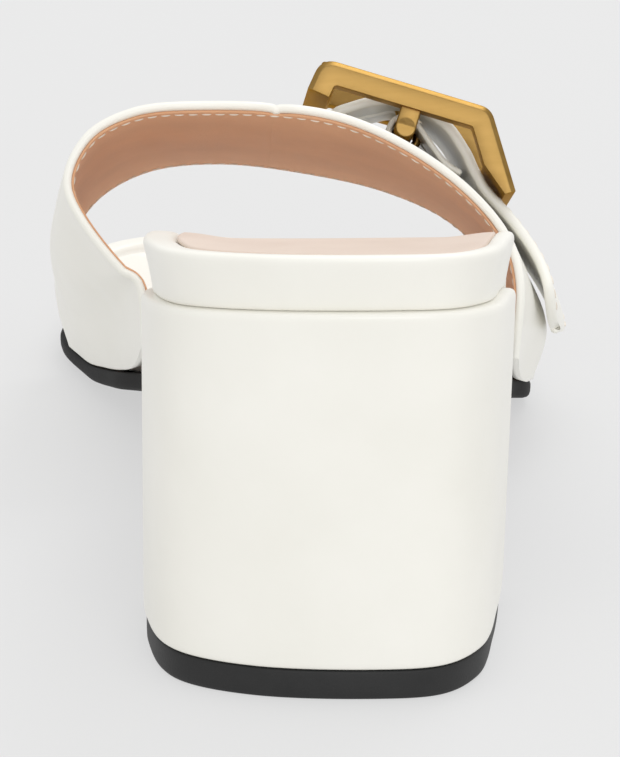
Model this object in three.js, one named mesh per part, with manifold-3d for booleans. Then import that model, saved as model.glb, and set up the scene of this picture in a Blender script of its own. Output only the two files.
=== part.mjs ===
// Block-heel leather mule, right shoe, size 37.
// Millimetres. +Y points to the toe, +X to the outer (lateral) side of the foot, +Z up.
// The origin is the middle of the heel's tread on the floor.
import * as THREE from "three";
import { mergeVertices } from "three/addons/utils/BufferGeometryUtils.js";
import Module from "manifold-3d";

const wasm = await Module();
wasm.setup();

// Driving dimensions.
const GAP = 0.3;
const RIM_HEIGHT = 9;
const RIM_HEIGHT_TOE = 6.8;
const RIM_FLARE = 1.5;
const DISH_DEPTH = 0.8;
const DISH_RUN = 14;
const SOCK_STEP = 1.4;
const SOCK_THICKNESS = 1.2;
const SOCK_BORDER = 4.2;
const SOCK_FRONT = { station: 5.35, bow: 0.3 };
const SOCK_ROWS = 24;
const OUTSOLE_THICKNESS = 3.0;
const OUTSOLE_BEVEL = 0.8;
const OUTSOLE_INSET = 0.7;
const OUTSOLE_WIDENS = { inner: { from: 96, to: 114 }, outer: { from: 122, to: 138 } };
const OUTSOLE_NARROWS = { from: 152, to: 174 };
const HEEL_LEDGE = 0.4;
const TOP_LIFT = 5.2;
const TOP_LIFT_INSET = 0.5;
const UPPER_WALL = 2.0;
const UPPER_STAND = UPPER_WALL + 0.35;
const STRAP_THICKNESS = 1.8;
const LOOP_THICKNESS = 1.1;
const BAR_WIDTH = 6;
const BAR_THICKNESS = 4;
const BUCKLE_DEPTH = 39;
const BUCKLE_LIFT = 11.2;
const BUCKLE_TILT = 0.1;
const BUCKLE_TWIST = 0.03;
const FOOT_THICKNESS = 2.0;
const CENTRE_BAR_RADIUS = 1.8;
const CENTRE_BAR_STANDOFF = 3.9;
// The posts that hold the centre bar's ends up under the buckle's side rails.
const POST = { width: 3, depth: 3, below: 1 };
const PRONG_THICKNESS = 1.6;
const PRONG_HALF_WIDTH = 1.4;
const LOOP_HALF = { v: 0.17, width: 10.5 };
const LOOP_ARC = { from: -Math.PI * 0.5, to: -Math.PI * 1.65, steps: 10 };
const BREAST_STATION = 4;

// Plan outline of the footbed's top edge, a row for each pair of points across the foot,
// from the back of the heel to the tip of the toe: m is the inner side, l the outer side.
const OUTLINE = [
  { name: "heel back", mx: 8.0, my: -29.6, lx: 8.0, ly: -29.6 },
  { name: "heel curve", mx: -12.0, my: -26.4, lx: 19.6, ly: -27.6 },
  { name: "heel corner", mx: -24.6, my: -16.8, lx: 26.2, ly: -17.8 },
  { name: "seat", mx: -29.1, my: 4.0, lx: 29.8, ly: 4.0 },
  { name: "breast", mx: -27.8, my: 30.0, lx: 32.0, ly: 30.0 },
  { name: "waist", mx: -25.8, my: 58.0, lx: 32.6, ly: 57.0 },
  { name: "arch", mx: -26.4, my: 88.0, lx: 33.7, ly: 83.0 },
  { name: "arch front", mx: -29.2, my: 113.0, lx: 35.2, ly: 102.0 },
  { name: "joint", mx: -35.8, my: 140.0, lx: 38.5, ly: 122.0 },
  { name: "ball", mx: -39.6, my: 157.0, lx: 36.8, ly: 143.0 },
  { name: "toe side", mx: -39.3, my: 175.5, lx: 30.4, ly: 163.0 },
  { name: "toe corner", mx: -34.2, my: 190.0, lx: 13.2, ly: 183.4 },
  { name: "toe tip", mx: -21.0, my: 194.6, lx: -21.0, ly: 194.6 },
];
const LAST_STATION = OUTLINE.length - 1;

// Height of the footbed's underside along the shoe: heel seat, shank, tread and toe spring.
// roll is how much higher the inner edge is there.
const SOLE_LINE = [
  { y: -34, z: 68.0, roll: 0 },
  { y: -15, z: 64.1, roll: 0 },
  { y: 0, z: 60.9, roll: 0.1 },
  { y: 16, z: 56.9, roll: 0.6 },
  { y: 32, z: 51.5, roll: 1.6 },
  { y: 50, z: 44.0, roll: 1.4 },
  { y: 68, z: 34.8, roll: 0.8 },
  { y: 86, z: 24.6, roll: 0.3 },
  { y: 100, z: 16.8, roll: 0.4 },
  { y: 114, z: 10.2, roll: 2.2 },
  { y: 126, z: 5.6, roll: 3.2 },
  { y: 136, z: 3.3, roll: 2.8 },
  { y: 146, z: 3.15, roll: 1.8 },
  { y: 158, z: 3.2, roll: 1.0 },
  { y: 170, z: 3.6, roll: 0.5 },
  { y: 184, z: 4.4, roll: 0 },
  { y: 206, z: 6.8, roll: 0 },
];
const ROLL_START = 4;
const ROLL_END = -36;

// Heel tread against heel top: scale and shift in x and y.
const HEEL_TAPER = { kx: 0.96, cx: -1.1, ky: 0.805, cy: -0.2 };

// The upper's outer face, a row for each section from its back edge (at the instep) to its
// front edge (over the toes). m columns are the inner side, l the outer side, [x, z] each;
// footM and footL are where the section stands, crownY where its crown is, flare is how
// far the wall has moved outwards where it passes the footbed's top edge, and dropL how
// far the outer foot reaches below the footbed to cover the sole's edge.
const UPPER = [
  {
    footM: 85, footL: 86, crownY: 103.8, flareM: 0.8, flareL: 0.8, dropL: 2.6,
    m2: [-32.2, 36.9], m3: [-41.7, 50.6], m4: [-38.0, 58.8], m5: [-29.9, 62.8],
    crown: [-17.5, 63.8],
    l5: [4.6, 62.1], l4: [18.4, 56.6], l3: [29.6, 48.6], l2: [35.5, 41.2],
  },
  {
    footM: 106, footL: 104, crownY: 122, flareM: 2.2, flareL: 2.4, dropL: 2.2,
    m2: [-40.2, 30.5], m3: [-43.2, 38.5], m4: [-40.2, 47.3], m5: [-30.6, 53.2],
    crown: [-17.2, 54.6],
    l5: [4.4, 52.9], l4: [18.8, 48.2], l3: [30.2, 41.0], l2: [38.0, 31.6],
  },
  {
    footM: 128, footL: 127, crownY: 140, flareM: 3.0, flareL: 2.2, dropL: 0,
    m2: [-43.0, 22.2], m3: [-43.6, 30.2], m4: [-39.6, 38.6], m5: [-29.5, 45.0],
    crown: [-15.8, 46.4],
    l5: [4.0, 44.4], l4: [18.8, 40.2], l3: [30.2, 33.8], l2: [38.2, 24.6],
  },
  {
    footM: 151, footL: 149, crownY: 158, flareM: 1.6, flareL: 1.0, dropL: 0,
    m2: [-43.1, 18.0], m3: [-40.4, 26.6], m4: [-35.4, 32.4], m5: [-26.4, 36.8],
    crown: [-13.4, 38.1],
    l5: [3.0, 36.1], l4: [17.0, 32.8], l3: [28.0, 27.8], l2: [35.6, 20.4],
  },
];
const UPPER_COLUMNS = ["m2", "m3", "m4", "m5", "crown", "l5", "l4", "l3", "l2"];
const UPPER_LAST_U = UPPER_COLUMNS.length + 3;

// The overlay strap, a row along it: u counts the upper's columns, v is where its middle
// lies across the upper, half is half its width in v, near and far are how high its
// underside stands above the upper at its rear and front edges.
const STRAP = [
  { u: 6.1, v: 0.43, half: 0.195, near: 0.35, far: 0.35 },
  { u: 6.6, v: 0.43, half: 0.195, near: 0.35, far: 0.35 },
  { u: 6.9, v: 0.43, half: 0.195, near: 0.6, far: 0.6 },
  { u: 7.1, v: 0.43, half: 0.195, near: 2.4, far: 2.4 },
  { u: 7.4, v: 0.43, half: 0.195, near: 5.5, far: 5.5 },
  { u: 7.75, v: 0.43, half: 0.195, near: 7.8, far: 7.8 },
  { u: 8.1, v: 0.43, half: 0.195, near: 7.2, far: 7.0 },
  { u: 8.5, v: 0.43, half: 0.195, near: 4.9, far: 4.2 },
  { u: 8.8, v: 0.43, half: 0.195, near: 2.6, far: 1.6 },
  { u: 9.1, v: 0.43, half: 0.195, near: 1.5, far: 0.4 },
  { u: 9.6, v: 0.42, half: 0.195, near: 1.5, far: 0.35 },
  { u: 10.2, v: 0.41, half: 0.19, near: 1.8, far: 0.8 },
  { u: 10.8, v: 0.4, half: 0.165, near: 1.8, far: 1.2 },
  { u: 11.05, v: 0.4, half: 0.11, near: 1.6, far: 1.4 },
  { u: 11.15, v: 0.4, half: 0.05, near: 1.5, far: 1.5 },
];

// The buckle's side view: a flat top with a short leg on the inner side and a longer
// spread leg on the outer side. a runs along the strap, h up from the top face.
const BUCKLE_SIDE = [
  { a: -18.9, h: -5.8 },
  { a: -18.1, h: 0 },
  { a: 12.5, h: 0 },
  { a: 20.7, h: -12.6 },
];
const BUCKLE_CORNER = 3.4;
const BUCKLE_INNER_CORNER = 0.8;

// The prong's side view in the same axes, from its curl to its tip on the inner end bar,
// and the arc of the curl round the centre bar.
const PRONG_BLADE = [
  { a: -5.0, low: -0.9, high: 0.9 },
  { a: -10.0, low: 0.5, high: 2.1 },
  { a: -16.6, low: 0.35, high: 1.5 },
];
const PRONG_CURL = { from: -Math.PI * 0.15, to: Math.PI * 0.6, steps: 8 };

const V = (x, y, z) => new THREE.Vector3(x, y, z);

// A smooth curve through named rows.
const curveOf = (points, closed = false) =>
  new THREE.CatmullRomCurve3(points, closed, "centripetal");

// Linear reading of a table: value of column key where column by equals at.
function readTable(rows, by, key, at) {
  const last = rows.length - 1;
  let i = 0;
  while (i < last - 1 && rows[i + 1][by] < at) i++;
  const t = THREE.MathUtils.clamp(
    (at - rows[i][by]) / (rows[i + 1][by] - rows[i][by]), 0, 1);
  return THREE.MathUtils.lerp(rows[i][key], rows[i + 1][key], t);
}

// The same reading with a smooth curve through the rows.
function smoothTable(rows, by, key, steps = 12) {
  const curve = curveOf(rows.map((row) => V(row[by], row[key], 0)));
  const fine = curve
    .getPoints(steps * (rows.length - 1))
    .map((p) => ({ at: p.x, value: p.y }));
  return (at) => readTable(fine, "at", "value", at);
}

const soleMiddleZ = smoothTable(SOLE_LINE, "y", "z");
const soleRoll = smoothTable(SOLE_LINE, "y", "roll");
const strapNear = smoothTable(STRAP, "u", "near");
const strapFar = smoothTable(STRAP, "u", "far");

// Height of the footbed's underside at a plan point.
function soleZ(x, y) {
  const share = THREE.MathUtils.clamp((x - ROLL_START) / (ROLL_END - ROLL_START), 0, 1.3);
  return soleMiddleZ(y) + soleRoll(y) * share * share;
}

// How much longer the sloping sole is than its plan at y.
const SOLE_STEP = 1;
const soleSlopeFactor = (y) =>
  Math.hypot(1, (soleMiddleZ(y + SOLE_STEP) - soleMiddleZ(y - SOLE_STEP)) / (2 * SOLE_STEP));

// Closed solid from quads: shared corners are merged, collapsed triangles dropped.
function solidFrom(quads) {
  const position = [];
  for (const [a, b, c, d] of quads) {
    for (const p of [a, b, c, a, c, d]) position.push(p.x, p.y, p.z);
  }
  const loose = new THREE.BufferGeometry().setAttribute(
    "position", new THREE.Float32BufferAttribute(position, 3));
  const merged = mergeVertices(loose, 1e-3);
  const corner = merged.index.array;
  const index = [];
  for (let i = 0; i < corner.length; i += 3) {
    const [a, b, c] = corner.slice(i, i + 3);
    if (a !== b && b !== c && a !== c) index.push(a, b, c);
  }
  merged.setIndex(index);
  if (signedVolume(merged) < 0) {
    for (let i = 0; i < index.length; i += 3)
      [index[i + 1], index[i + 2]] = [index[i + 2], index[i + 1]];
    merged.setIndex(index);
  }
  return merged;
}

function signedVolume(geometry) {
  const p = geometry.getAttribute("position");
  const index = geometry.index.array;
  const corner = (i) => V(p.getX(index[i]), p.getY(index[i]), p.getZ(index[i]));
  let six = 0;
  for (let i = 0; i < index.length; i += 3)
    six += corner(i).dot(corner(i + 1).cross(corner(i + 2)));
  return six / 6;
}

// A plate with an upper and a lower face on one grid: top(i, j) and bottom(i, j) give
// the corners, open(i, j) is true for cells that are cut out. A folded end needs no wall:
// there the grid's last line doubles back on itself.
function plate(columns, rows, top, bottom, { open = () => false, folded = [] } = {}) {
  const filled = (i, j) =>
    i >= 0 && j >= 0 && i < columns && j < rows && !open(i, j);
  const grid = (face) =>
    Array.from({ length: columns + 1 }, (_, i) =>
      Array.from({ length: rows + 1 }, (_, j) => face(i, j)));
  const [up, low] = [grid(top), grid(bottom)];
  const quads = [];
  const wall = (i, j, k, l) => quads.push([up[i][j], up[k][l], low[k][l], low[i][j]]);
  for (let i = 0; i < columns; i++) {
    for (let j = 0; j < rows; j++) {
      if (!filled(i, j)) continue;
      quads.push([up[i][j], up[i][j + 1], up[i + 1][j + 1], up[i + 1][j]]);
      quads.push([low[i][j], low[i + 1][j], low[i + 1][j + 1], low[i][j + 1]]);
      if (!filled(i, j - 1)) wall(i, j, i + 1, j);
      if (!filled(i, j + 1)) wall(i + 1, j + 1, i, j + 1);
      if (!filled(i - 1, j) && !(i === 0 && folded.includes("start"))) wall(i, j + 1, i, j);
      if (!filled(i + 1, j) && !(i === columns - 1 && folded.includes("end")))
        wall(i + 1, j, i + 1, j + 1);
    }
  }
  return solidFrom(quads);
}

const toManifold = (geometry) =>
  new wasm.Manifold(new wasm.Mesh({
    numProp: 3,
    vertProperties: new Float32Array(geometry.getAttribute("position").array),
    triVerts: new Uint32Array(geometry.index.array),
  }));

function fromManifold(solid) {
  const mesh = solid.getMesh();
  return new THREE.BufferGeometry()
    .setAttribute("position", new THREE.BufferAttribute(mesh.vertProperties, 3))
    .setIndex(new THREE.BufferAttribute(mesh.triVerts, 1));
}

// A three.js primitive with only merged positions, ready to join.
function bare(geometry) {
  geometry.deleteAttribute("normal");
  geometry.deleteAttribute("uv");
  return toManifold(mergeVertices(geometry, 1e-3));
}

// ---- Plan outline -------------------------------------------------------------------

const outlineCurve = curveOf([
  ...OUTLINE.map((row) => V(row.lx, row.ly, 0)),
  ...OUTLINE.slice(1, -1).reverse().map((row) => V(row.mx, row.my, 0)),
], true);

// Point of the outline at a station on one side (-1 inner, 1 outer), moved out by offset.
function outlineAt(side, station, offset = 0) {
  const share = station / (2 * LAST_STATION);
  const t = side > 0 ? share : (1 - share) % 1;
  const step = 1e-3;
  const before = outlineCurve.getPoint((t - step + 1) % 1);
  const after = outlineCurve.getPoint((t + step) % 1);
  const along = after.sub(before).normalize();
  return outlineCurve.getPoint(t).add(V(along.y, -along.x, 0).multiplyScalar(offset));
}

// Station on one side whose outline point lies at y.
function stationAtY(side, y) {
  let low = 0;
  let high = LAST_STATION;
  for (let k = 0; k < 24; k++) {
    const middle = (low + high) / 2;
    if (outlineAt(side, middle).y < y) low = middle;
    else high = middle;
  }
  return (low + high) / 2;
}

// Stations from one to another, closer together towards rounded ends.
function stations(from, to, count, rounding = 0.6) {
  return Array.from({ length: count + 1 }, (_, i) => {
    const t = i / count;
    const eased = 0.5 - 0.5 * Math.cos(Math.PI * t);
    return THREE.MathUtils.lerp(from, to, THREE.MathUtils.lerp(t, eased, rounding));
  });
}

// Columns across the foot: inset in from the outline first, then a share of the way over.
const ACROSS = [
  { inset: 0, share: 0 },
  { inset: SOCK_BORDER / 2, share: 0 },
  { inset: SOCK_BORDER, share: 0 },
  { inset: SOCK_BORDER, share: 0.14 },
  { inset: SOCK_BORDER, share: 0.5 },
  { inset: SOCK_BORDER, share: 0.86 },
  { inset: SOCK_BORDER, share: 1 },
  { inset: SOCK_BORDER / 2, share: 1 },
  { inset: 0, share: 1 },
];
const SOCK_ACROSS = ACROSS.filter((column) => column.inset === SOCK_BORDER);

// Plan point of a column at a station.
const across = (station, { inset, share }, offset) =>
  outlineAt(-1, station, offset - inset).lerp(outlineAt(1, station, offset - inset), share);

// How far in from the outline a column lies at a station.
function inwardOf(station, { inset, share }) {
  const width = outlineAt(-1, station, -inset).distanceTo(outlineAt(1, station, -inset));
  return inset + Math.min(share, 1 - share) * width;
}

// ---- Footbed, sock, outsole and heel ------------------------------------------------

const rimHeight = (y) =>
  THREE.MathUtils.lerp(RIM_HEIGHT, RIM_HEIGHT_TOE,
    THREE.MathUtils.smoothstep(y, 60, 160));

// Height of the footbed's top face at a plan point, a distance in from its edge: a rim,
// a step down for the sock, and a shallow dish.
function footbedTopZ(x, y, inward) {
  const step = SOCK_STEP * THREE.MathUtils.smoothstep(inward, SOCK_BORDER / 2, SOCK_BORDER);
  const dish = DISH_DEPTH * THREE.MathUtils.smoothstep(inward, SOCK_BORDER, DISH_RUN);
  return soleZ(x, y) + rimHeight(y) * soleSlopeFactor(y) - step - dish;
}

const FOOTBED_ROWS = stations(0, LAST_STATION, 44);

// Point of the footbed's top face in a column at a station, raised by lift.
function footbedTop(station, column, lift) {
  const p = across(station, column, 0);
  return p.setZ(footbedTopZ(p.x, p.y, inwardOf(station, column)) + lift);
}

function makeFootbed() {
  const under = (i, j) => {
    const p = across(FOOTBED_ROWS[i], ACROSS[j], -RIM_FLARE);
    return p.setZ(soleZ(p.x, p.y));
  };
  return plate(FOOTBED_ROWS.length - 1, ACROSS.length - 1,
    (i, j) => footbedTop(FOOTBED_ROWS[i], ACROSS[j], 0), under, { folded: ["start", "end"] });
}

// The sock covers the heel seat and waist and ends in a rounded front edge.
function makeSock() {
  const face = (lift) => (i, j) => {
    const column = SOCK_ACROSS[j];
    const bow = SOCK_FRONT.bow * (2 * column.share - 1) ** 2;
    const station = ((SOCK_FRONT.station - bow) * i) / SOCK_ROWS;
    return footbedTop(station, column, lift);
  };
  return plate(SOCK_ROWS, SOCK_ACROSS.length - 1,
    face(GAP + SOCK_THICKNESS), face(GAP), { folded: ["start"] });
}

// The outsole is wider where the upper stands on it.
function outsoleEdge(y, { from, to }) {
  const inUpper =
    THREE.MathUtils.smoothstep(y, from, to) *
    (1 - THREE.MathUtils.smoothstep(y, OUTSOLE_NARROWS.from, OUTSOLE_NARROWS.to));
  return THREE.MathUtils.lerp(-OUTSOLE_INSET, UPPER_STAND, inUpper);
}

function makeOutsole() {
  const rows = stations(BREAST_STATION + 0.05, LAST_STATION, 34, 0.35);
  const place = (i, j, depth, inset) => {
    const { y } = across(rows[i], { inset: 0, share: 0.5 }, 0);
    const edge = THREE.MathUtils.lerp(
      outsoleEdge(y, OUTSOLE_WIDENS.inner), outsoleEdge(y, OUTSOLE_WIDENS.outer),
      ACROSS[j].share);
    const p = across(rows[i], ACROSS[j], edge - inset);
    return p.setZ(Math.max(0, soleZ(p.x, p.y) - GAP - depth * soleSlopeFactor(p.y)));
  };
  return plate(rows.length - 1, ACROSS.length - 1,
    (i, j) => place(i, j, 0, 0),
    (i, j) => place(i, j, OUTSOLE_THICKNESS, OUTSOLE_BEVEL), { folded: ["end"] });
}

// A level of the heel between its top (share 1) and its tread (share 0).
function heelPoint(station, column, level, inset) {
  const top = across(station, column, HEEL_LEDGE);
  const tread = V(
    top.x * HEEL_TAPER.kx + HEEL_TAPER.cx,
    top.y * HEEL_TAPER.ky + HEEL_TAPER.cy, 0);
  const middle = V(0, 0, 0);
  tread.lerp(middle, inset / 28);
  return tread.lerp(top.setZ(soleZ(top.x, top.y) - GAP), level);
}

const HEEL_ROWS = stations(0, BREAST_STATION, 18, 0.2);

function makeHeelBlock() {
  const foot = (i, j) => {
    const p = heelPoint(HEEL_ROWS[i], ACROSS[j], 0, 0);
    const top = heelPoint(HEEL_ROWS[i], ACROSS[j], 1, 0);
    return p.lerp(top, (TOP_LIFT + GAP) / top.z);
  };
  return plate(HEEL_ROWS.length - 1, ACROSS.length - 1,
    (i, j) => heelPoint(HEEL_ROWS[i], ACROSS[j], 1, 0), foot, { folded: ["start"] });
}

function makeHeelTopLift() {
  const face = (z, inset) => (i, j) =>
    heelPoint(HEEL_ROWS[i], ACROSS[j], 0, inset).setZ(z);
  return plate(HEEL_ROWS.length - 1, ACROSS.length - 1,
    face(TOP_LIFT, TOP_LIFT_INSET), face(0, TOP_LIFT_INSET), { folded: ["start"] });
}

// ---- Upper --------------------------------------------------------------------------

const UPPER_V = UPPER.map((_, i) => i / (UPPER.length - 1));

// Smooth reading of one number of the upper's sections at v.
function upperNumber(key) {
  return smoothTable(UPPER.map((row, i) => ({ v: UPPER_V[i], value: row[key] })), "v", "value");
}
const footMOf = upperNumber("footM");
const footLOf = upperNumber("footL");
const crownYOf = upperNumber("crownY");
const flareMOf = upperNumber("flareM");
const flareLOf = upperNumber("flareL");
const dropLOf = upperNumber("dropL");

// The columns of one section at v, from the inner foot over the crown to the outer foot.
function upperColumns(v) {
  const columns = UPPER_COLUMNS.map((key) =>
    curveOf(UPPER.map((row, i) => V(row[key][0], row[key][1], UPPER_V[i]))).getPoint(v));
  const crown = columns[UPPER_COLUMNS.indexOf("crown")];
  const footOn = (side, footY, flare, drop) => {
    const base = outlineAt(side, stationAtY(side, footY), UPPER_STAND);
    const ground = soleZ(base.x, base.y);
    base.setZ(ground - drop);
    const lean = (crownYOf(v) - footY) / (crown.y - base.z);
    const rise = rimHeight(footY) * soleSlopeFactor(footY);
    const top = outlineAt(side, stationAtY(side, footY + lean * rise), UPPER_STAND + flare);
    top.setZ(ground + rise);
    return { base, top, lean, footY };
  };
  const inner = footOn(-1, footMOf(v), flareMOf(v), 0);
  const outer = footOn(1, footLOf(v), flareLOf(v), dropLOf(v));
  const arch = columns.map((p) => {
    const foot = p.x < crown.x ? inner : outer;
    return V(p.x, foot.footY + foot.lean * (p.y - foot.base.z), p.y);
  });
  return [inner.base, inner.top, ...arch, outer.top, outer.base];
}

const sectionCache = new Map();

function sectionCurve(v) {
  if (!sectionCache.has(v)) sectionCache.set(v, curveOf(upperColumns(v)));
  return sectionCache.get(v);
}

// Outer face of the upper: u counts columns from the inner foot, v runs back to front.
const upperPoint = (u, v) => sectionCurve(v).getPoint(u / UPPER_LAST_U);

// Unit directions of the upper at (u, v): along it, towards its front, and outwards.
function upperFrame(u, v) {
  const step = 0.02;
  const vLow = Math.max(0, v - step);
  const vHigh = Math.min(1, v + step);
  const uLow = Math.max(0, u - step);
  const uHigh = Math.min(UPPER_LAST_U, u + step);
  const along = upperPoint(uHigh, v).sub(upperPoint(uLow, v)).normalize();
  const forward = upperPoint(u, vHigh).sub(upperPoint(u, vLow)).normalize();
  const out = along.clone().cross(forward).normalize();
  return { along, forward, out };
}

const liftedPoint = (u, v, lift) =>
  upperPoint(u, v).add(upperFrame(u, v).out.multiplyScalar(lift));

function makeUpper() {
  const columns = 52;
  const rows = 12;
  const uAt = (i) => (i / columns) * UPPER_LAST_U;
  const vAt = (j) => j / rows;
  const inner = (i, j) => {
    const p = liftedPoint(uAt(i), vAt(j), -UPPER_WALL);
    if (i === 0 || i === columns) p.setZ(upperPoint(uAt(i), vAt(j)).z);
    return p;
  };
  return plate(columns, rows, (i, j) => upperPoint(uAt(i), vAt(j)), inner);
}

// ---- Strap, loop and buckle ---------------------------------------------------------

const BUCKLE_U = 7.8;
const BUCKLE_V = 0.43;
const SLOT = { from: 7.2, to: 8.0 };

const strapRead = (key, u) => readTable(STRAP, "u", key, u);

function makeBuckleStrap() {
  const before = [STRAP[0].u, 6.35, 6.6, 6.8, 6.95, 7.08];
  const slot = [SLOT.from, 7.36, 7.55, 7.78, SLOT.to];
  const after = [8.2, 8.4, 8.65, 8.9, 9.2, 9.5, 9.8, 10.1, 10.4, 10.7, 10.9, 11.05, 11.15];
  const uRows = [...before, ...slot, ...after];
  const slotStart = uRows.indexOf(SLOT.from);
  const slotEnd = uRows.indexOf(SLOT.to);
  const share = [-1, -0.55, -0.16, 0.16, 0.55, 1];
  const face = (lift) => (i, j) => {
    const u = uRows[i];
    const v = strapRead("v", u) + strapRead("half", u) * share[j];
    const under = THREE.MathUtils.lerp(strapNear(u), strapFar(u), (share[j] + 1) / 2);
    return liftedPoint(u, v, under + lift);
  };
  return plate(uRows.length - 1, share.length - 1, face(STRAP_THICKNESS), face(0),
    { open: (i, j) => i >= slotStart && i < slotEnd && j === 2 });
}

// The buckle's own axes: origin in the middle of its top face.
const seat = upperFrame(BUCKLE_U, BUCKLE_V);
const buckleAlong = seat.along.clone()
  .multiplyScalar(Math.cos(BUCKLE_TILT))
  .add(seat.out.clone().multiplyScalar(Math.sin(BUCKLE_TILT)));
const buckleForward = seat.forward.clone()
  .addScaledVector(seat.out, BUCKLE_TWIST)
  .projectOnPlane(buckleAlong).normalize();
const buckleUp = buckleAlong.clone().cross(buckleForward).normalize();
const buckleOrigin = liftedPoint(BUCKLE_U, BUCKLE_V, BUCKLE_LIFT);
const buckleMatrix = new THREE.Matrix4()
  .makeBasis(buckleAlong, buckleForward, buckleUp)
  .setPosition(buckleOrigin);
const buckleLocal = (a, b, h) => V(a, b, h).applyMatrix4(buckleMatrix);

// Polyline with its inner corners rounded to arcs, as points with the leftward normal.
function roundedPath(corners, radius, arcSteps) {
  const points = [];
  corners.forEach((c, i) => {
    const here = new THREE.Vector2(c.a, c.h);
    if (i === 0 || i === corners.length - 1) {
      points.push(here);
      return;
    }
    const before = new THREE.Vector2(corners[i - 1].a, corners[i - 1].h);
    const after = new THREE.Vector2(corners[i + 1].a, corners[i + 1].h);
    const back = before.sub(here).normalize();
    const on = after.sub(here).normalize();
    const half = Math.acos(THREE.MathUtils.clamp(back.dot(on), -1, 1)) / 2;
    const cut = radius / Math.tan(half);
    const start = here.clone().addScaledVector(back, cut);
    const end = here.clone().addScaledVector(on, cut);
    const bend = new THREE.QuadraticBezierCurve(start, here, end);
    points.push(...bend.getPoints(arcSteps));
  });
  return points.map((p, i) => {
    const q = points[Math.min(i + 1, points.length - 1)];
    const o = points[Math.max(i - 1, 0)];
    const along = q.clone().sub(o).normalize();
    return { p, normal: new THREE.Vector2(-along.y, along.x) };
  });
}

// The centre bar's place in the buckle's axes.
const centreBar = (() => {
  const middle = liftedPoint(BUCKLE_U, BUCKLE_V, CENTRE_BAR_STANDOFF);
  return middle.applyMatrix4(buckleMatrix.clone().invert());
})();

// The side view's corners moved in by the frame's thickness, square to both legs.
function innerCorners(corners, depth) {
  const at = corners.map((c) => new THREE.Vector2(c.a, c.h));
  const normals = at.slice(1).map((p, i) => {
    const along = p.clone().sub(at[i]).normalize();
    return new THREE.Vector2(-along.y, along.x);
  });
  return at.map((p, i) => {
    const before = normals[Math.max(i - 1, 0)];
    const after = normals[Math.min(i, normals.length - 1)];
    const share = depth / (1 + before.dot(after));
    return { a: p.x - (before.x + after.x) * share, h: p.y - (before.y + after.y) * share };
  });
}

function makeBuckleFrame() {
  const path = roundedPath(BUCKLE_SIDE, BUCKLE_CORNER, 4);
  const under = roundedPath(
    innerCorners(BUCKLE_SIDE, BAR_THICKNESS), BUCKLE_INNER_CORNER, 4);
  const last = path.length - 1;
  const drop = ({ p, normal }, depth) => p.clone().addScaledVector(normal, -depth);
  const legLength = path[last - 1].p.distanceTo(path[last].p);
  const footFrom = {
    p: path[last - 1].p.clone().lerp(path[last].p, 1 - BAR_WIDTH / legLength),
    normal: path[last].normal,
  };
  path.splice(last, 0, footFrom);
  under[last].p = drop(path[last + 1], FOOT_THICKNESS);
  under.splice(last, 0, { p: drop(footFrom, BAR_THICKNESS) });
  const windowFrom = 3;
  const windowTo = path.length - 2;
  const half = BUCKLE_DEPTH / 2;
  const bevel = 1.1;
  const b = [-half, -half + bevel, -half + BAR_WIDTH, 0, half - BAR_WIDTH, half - bevel, half];
  const top = (i, j) => {
    const edge = j === 0 || j === b.length - 1 ? bevel : 0;
    const { p, normal } = path[i];
    return V(p.x - normal.x * edge, b[j], p.y - normal.y * edge);
  };
  const bottom = (i, j) => V(under[i].p.x, b[j], under[i].p.y);
  let frame = toManifold(plate(path.length - 1, b.length - 1, top, bottom,
    { open: (i, j) => i >= windowFrom && i < windowTo && (j === 2 || j === 3) }));
  const railMiddle = (BUCKLE_DEPTH - BAR_WIDTH) / 2;
  const barLength = 2 * railMiddle + POST.depth;
  const bar = new THREE.CylinderGeometry(
    CENTRE_BAR_RADIUS, CENTRE_BAR_RADIUS, barLength, 12, barLength / POST.depth);
  bar.translate(centreBar.x, 0, centreBar.z);
  frame = frame.add(bare(bar));
  for (const end of [-1, 1]) {
    const height = -centreBar.z;
    const post = new THREE.BoxGeometry(POST.width, POST.depth, height - POST.below);
    post.translate(centreBar.x, end * railMiddle, -(height + POST.below) / 2);
    frame = frame.add(bare(post));
  }
  return fromManifold(frame).applyMatrix4(buckleMatrix);
}

// Loop tab: sewn on the upper on the outer side, folded round the centre bar, with a
// slot for the prong. Its lower ply lies on the upper, its upper ply on the lower one.
function makeBuckleLoop() {
  const share = [-1, -0.5, -0.2, 0.2, 0.5, 1];
  const onUpper = (u, j, lift) => liftedPoint(u, BUCKLE_V + LOOP_HALF.v * share[j], lift);
  const roundBar = (angle, j, radius) => buckleLocal(
    centreBar.x + radius * Math.cos(angle), LOOP_HALF.width * share[j],
    centreBar.z + radius * Math.sin(angle));
  const inside = CENTRE_BAR_RADIUS + GAP;
  const low = GAP + 0.05;
  const high = low + LOOP_THICKNESS + GAP + 0.05;
  const rows = [
    { u: 8.6, outer: low, inner: low + LOOP_THICKNESS },
    { u: 8.3, outer: low, inner: low + LOOP_THICKNESS },
  ];
  for (let k = 0; k <= LOOP_ARC.steps; k++)
    rows.push({ angle: LOOP_ARC.from + ((LOOP_ARC.to - LOOP_ARC.from) * k) / LOOP_ARC.steps });
  rows.push({ u: 8.4, inner: high, outer: high + LOOP_THICKNESS });
  rows.push({ u: 8.6, inner: high, outer: high + LOOP_THICKNESS });
  const face = (side) => (i, j) => {
    const row = rows[i];
    if (row.u) return onUpper(row.u, j, row[side]);
    return roundBar(row.angle, j, side === "inner" ? inside : inside + LOOP_THICKNESS);
  };
  return plate(rows.length - 1, share.length - 1, face("outer"), face("inner"),
    { open: (i, j) => i >= 3 && i < LOOP_ARC.steps + 3 && j === 2 });
}

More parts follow.
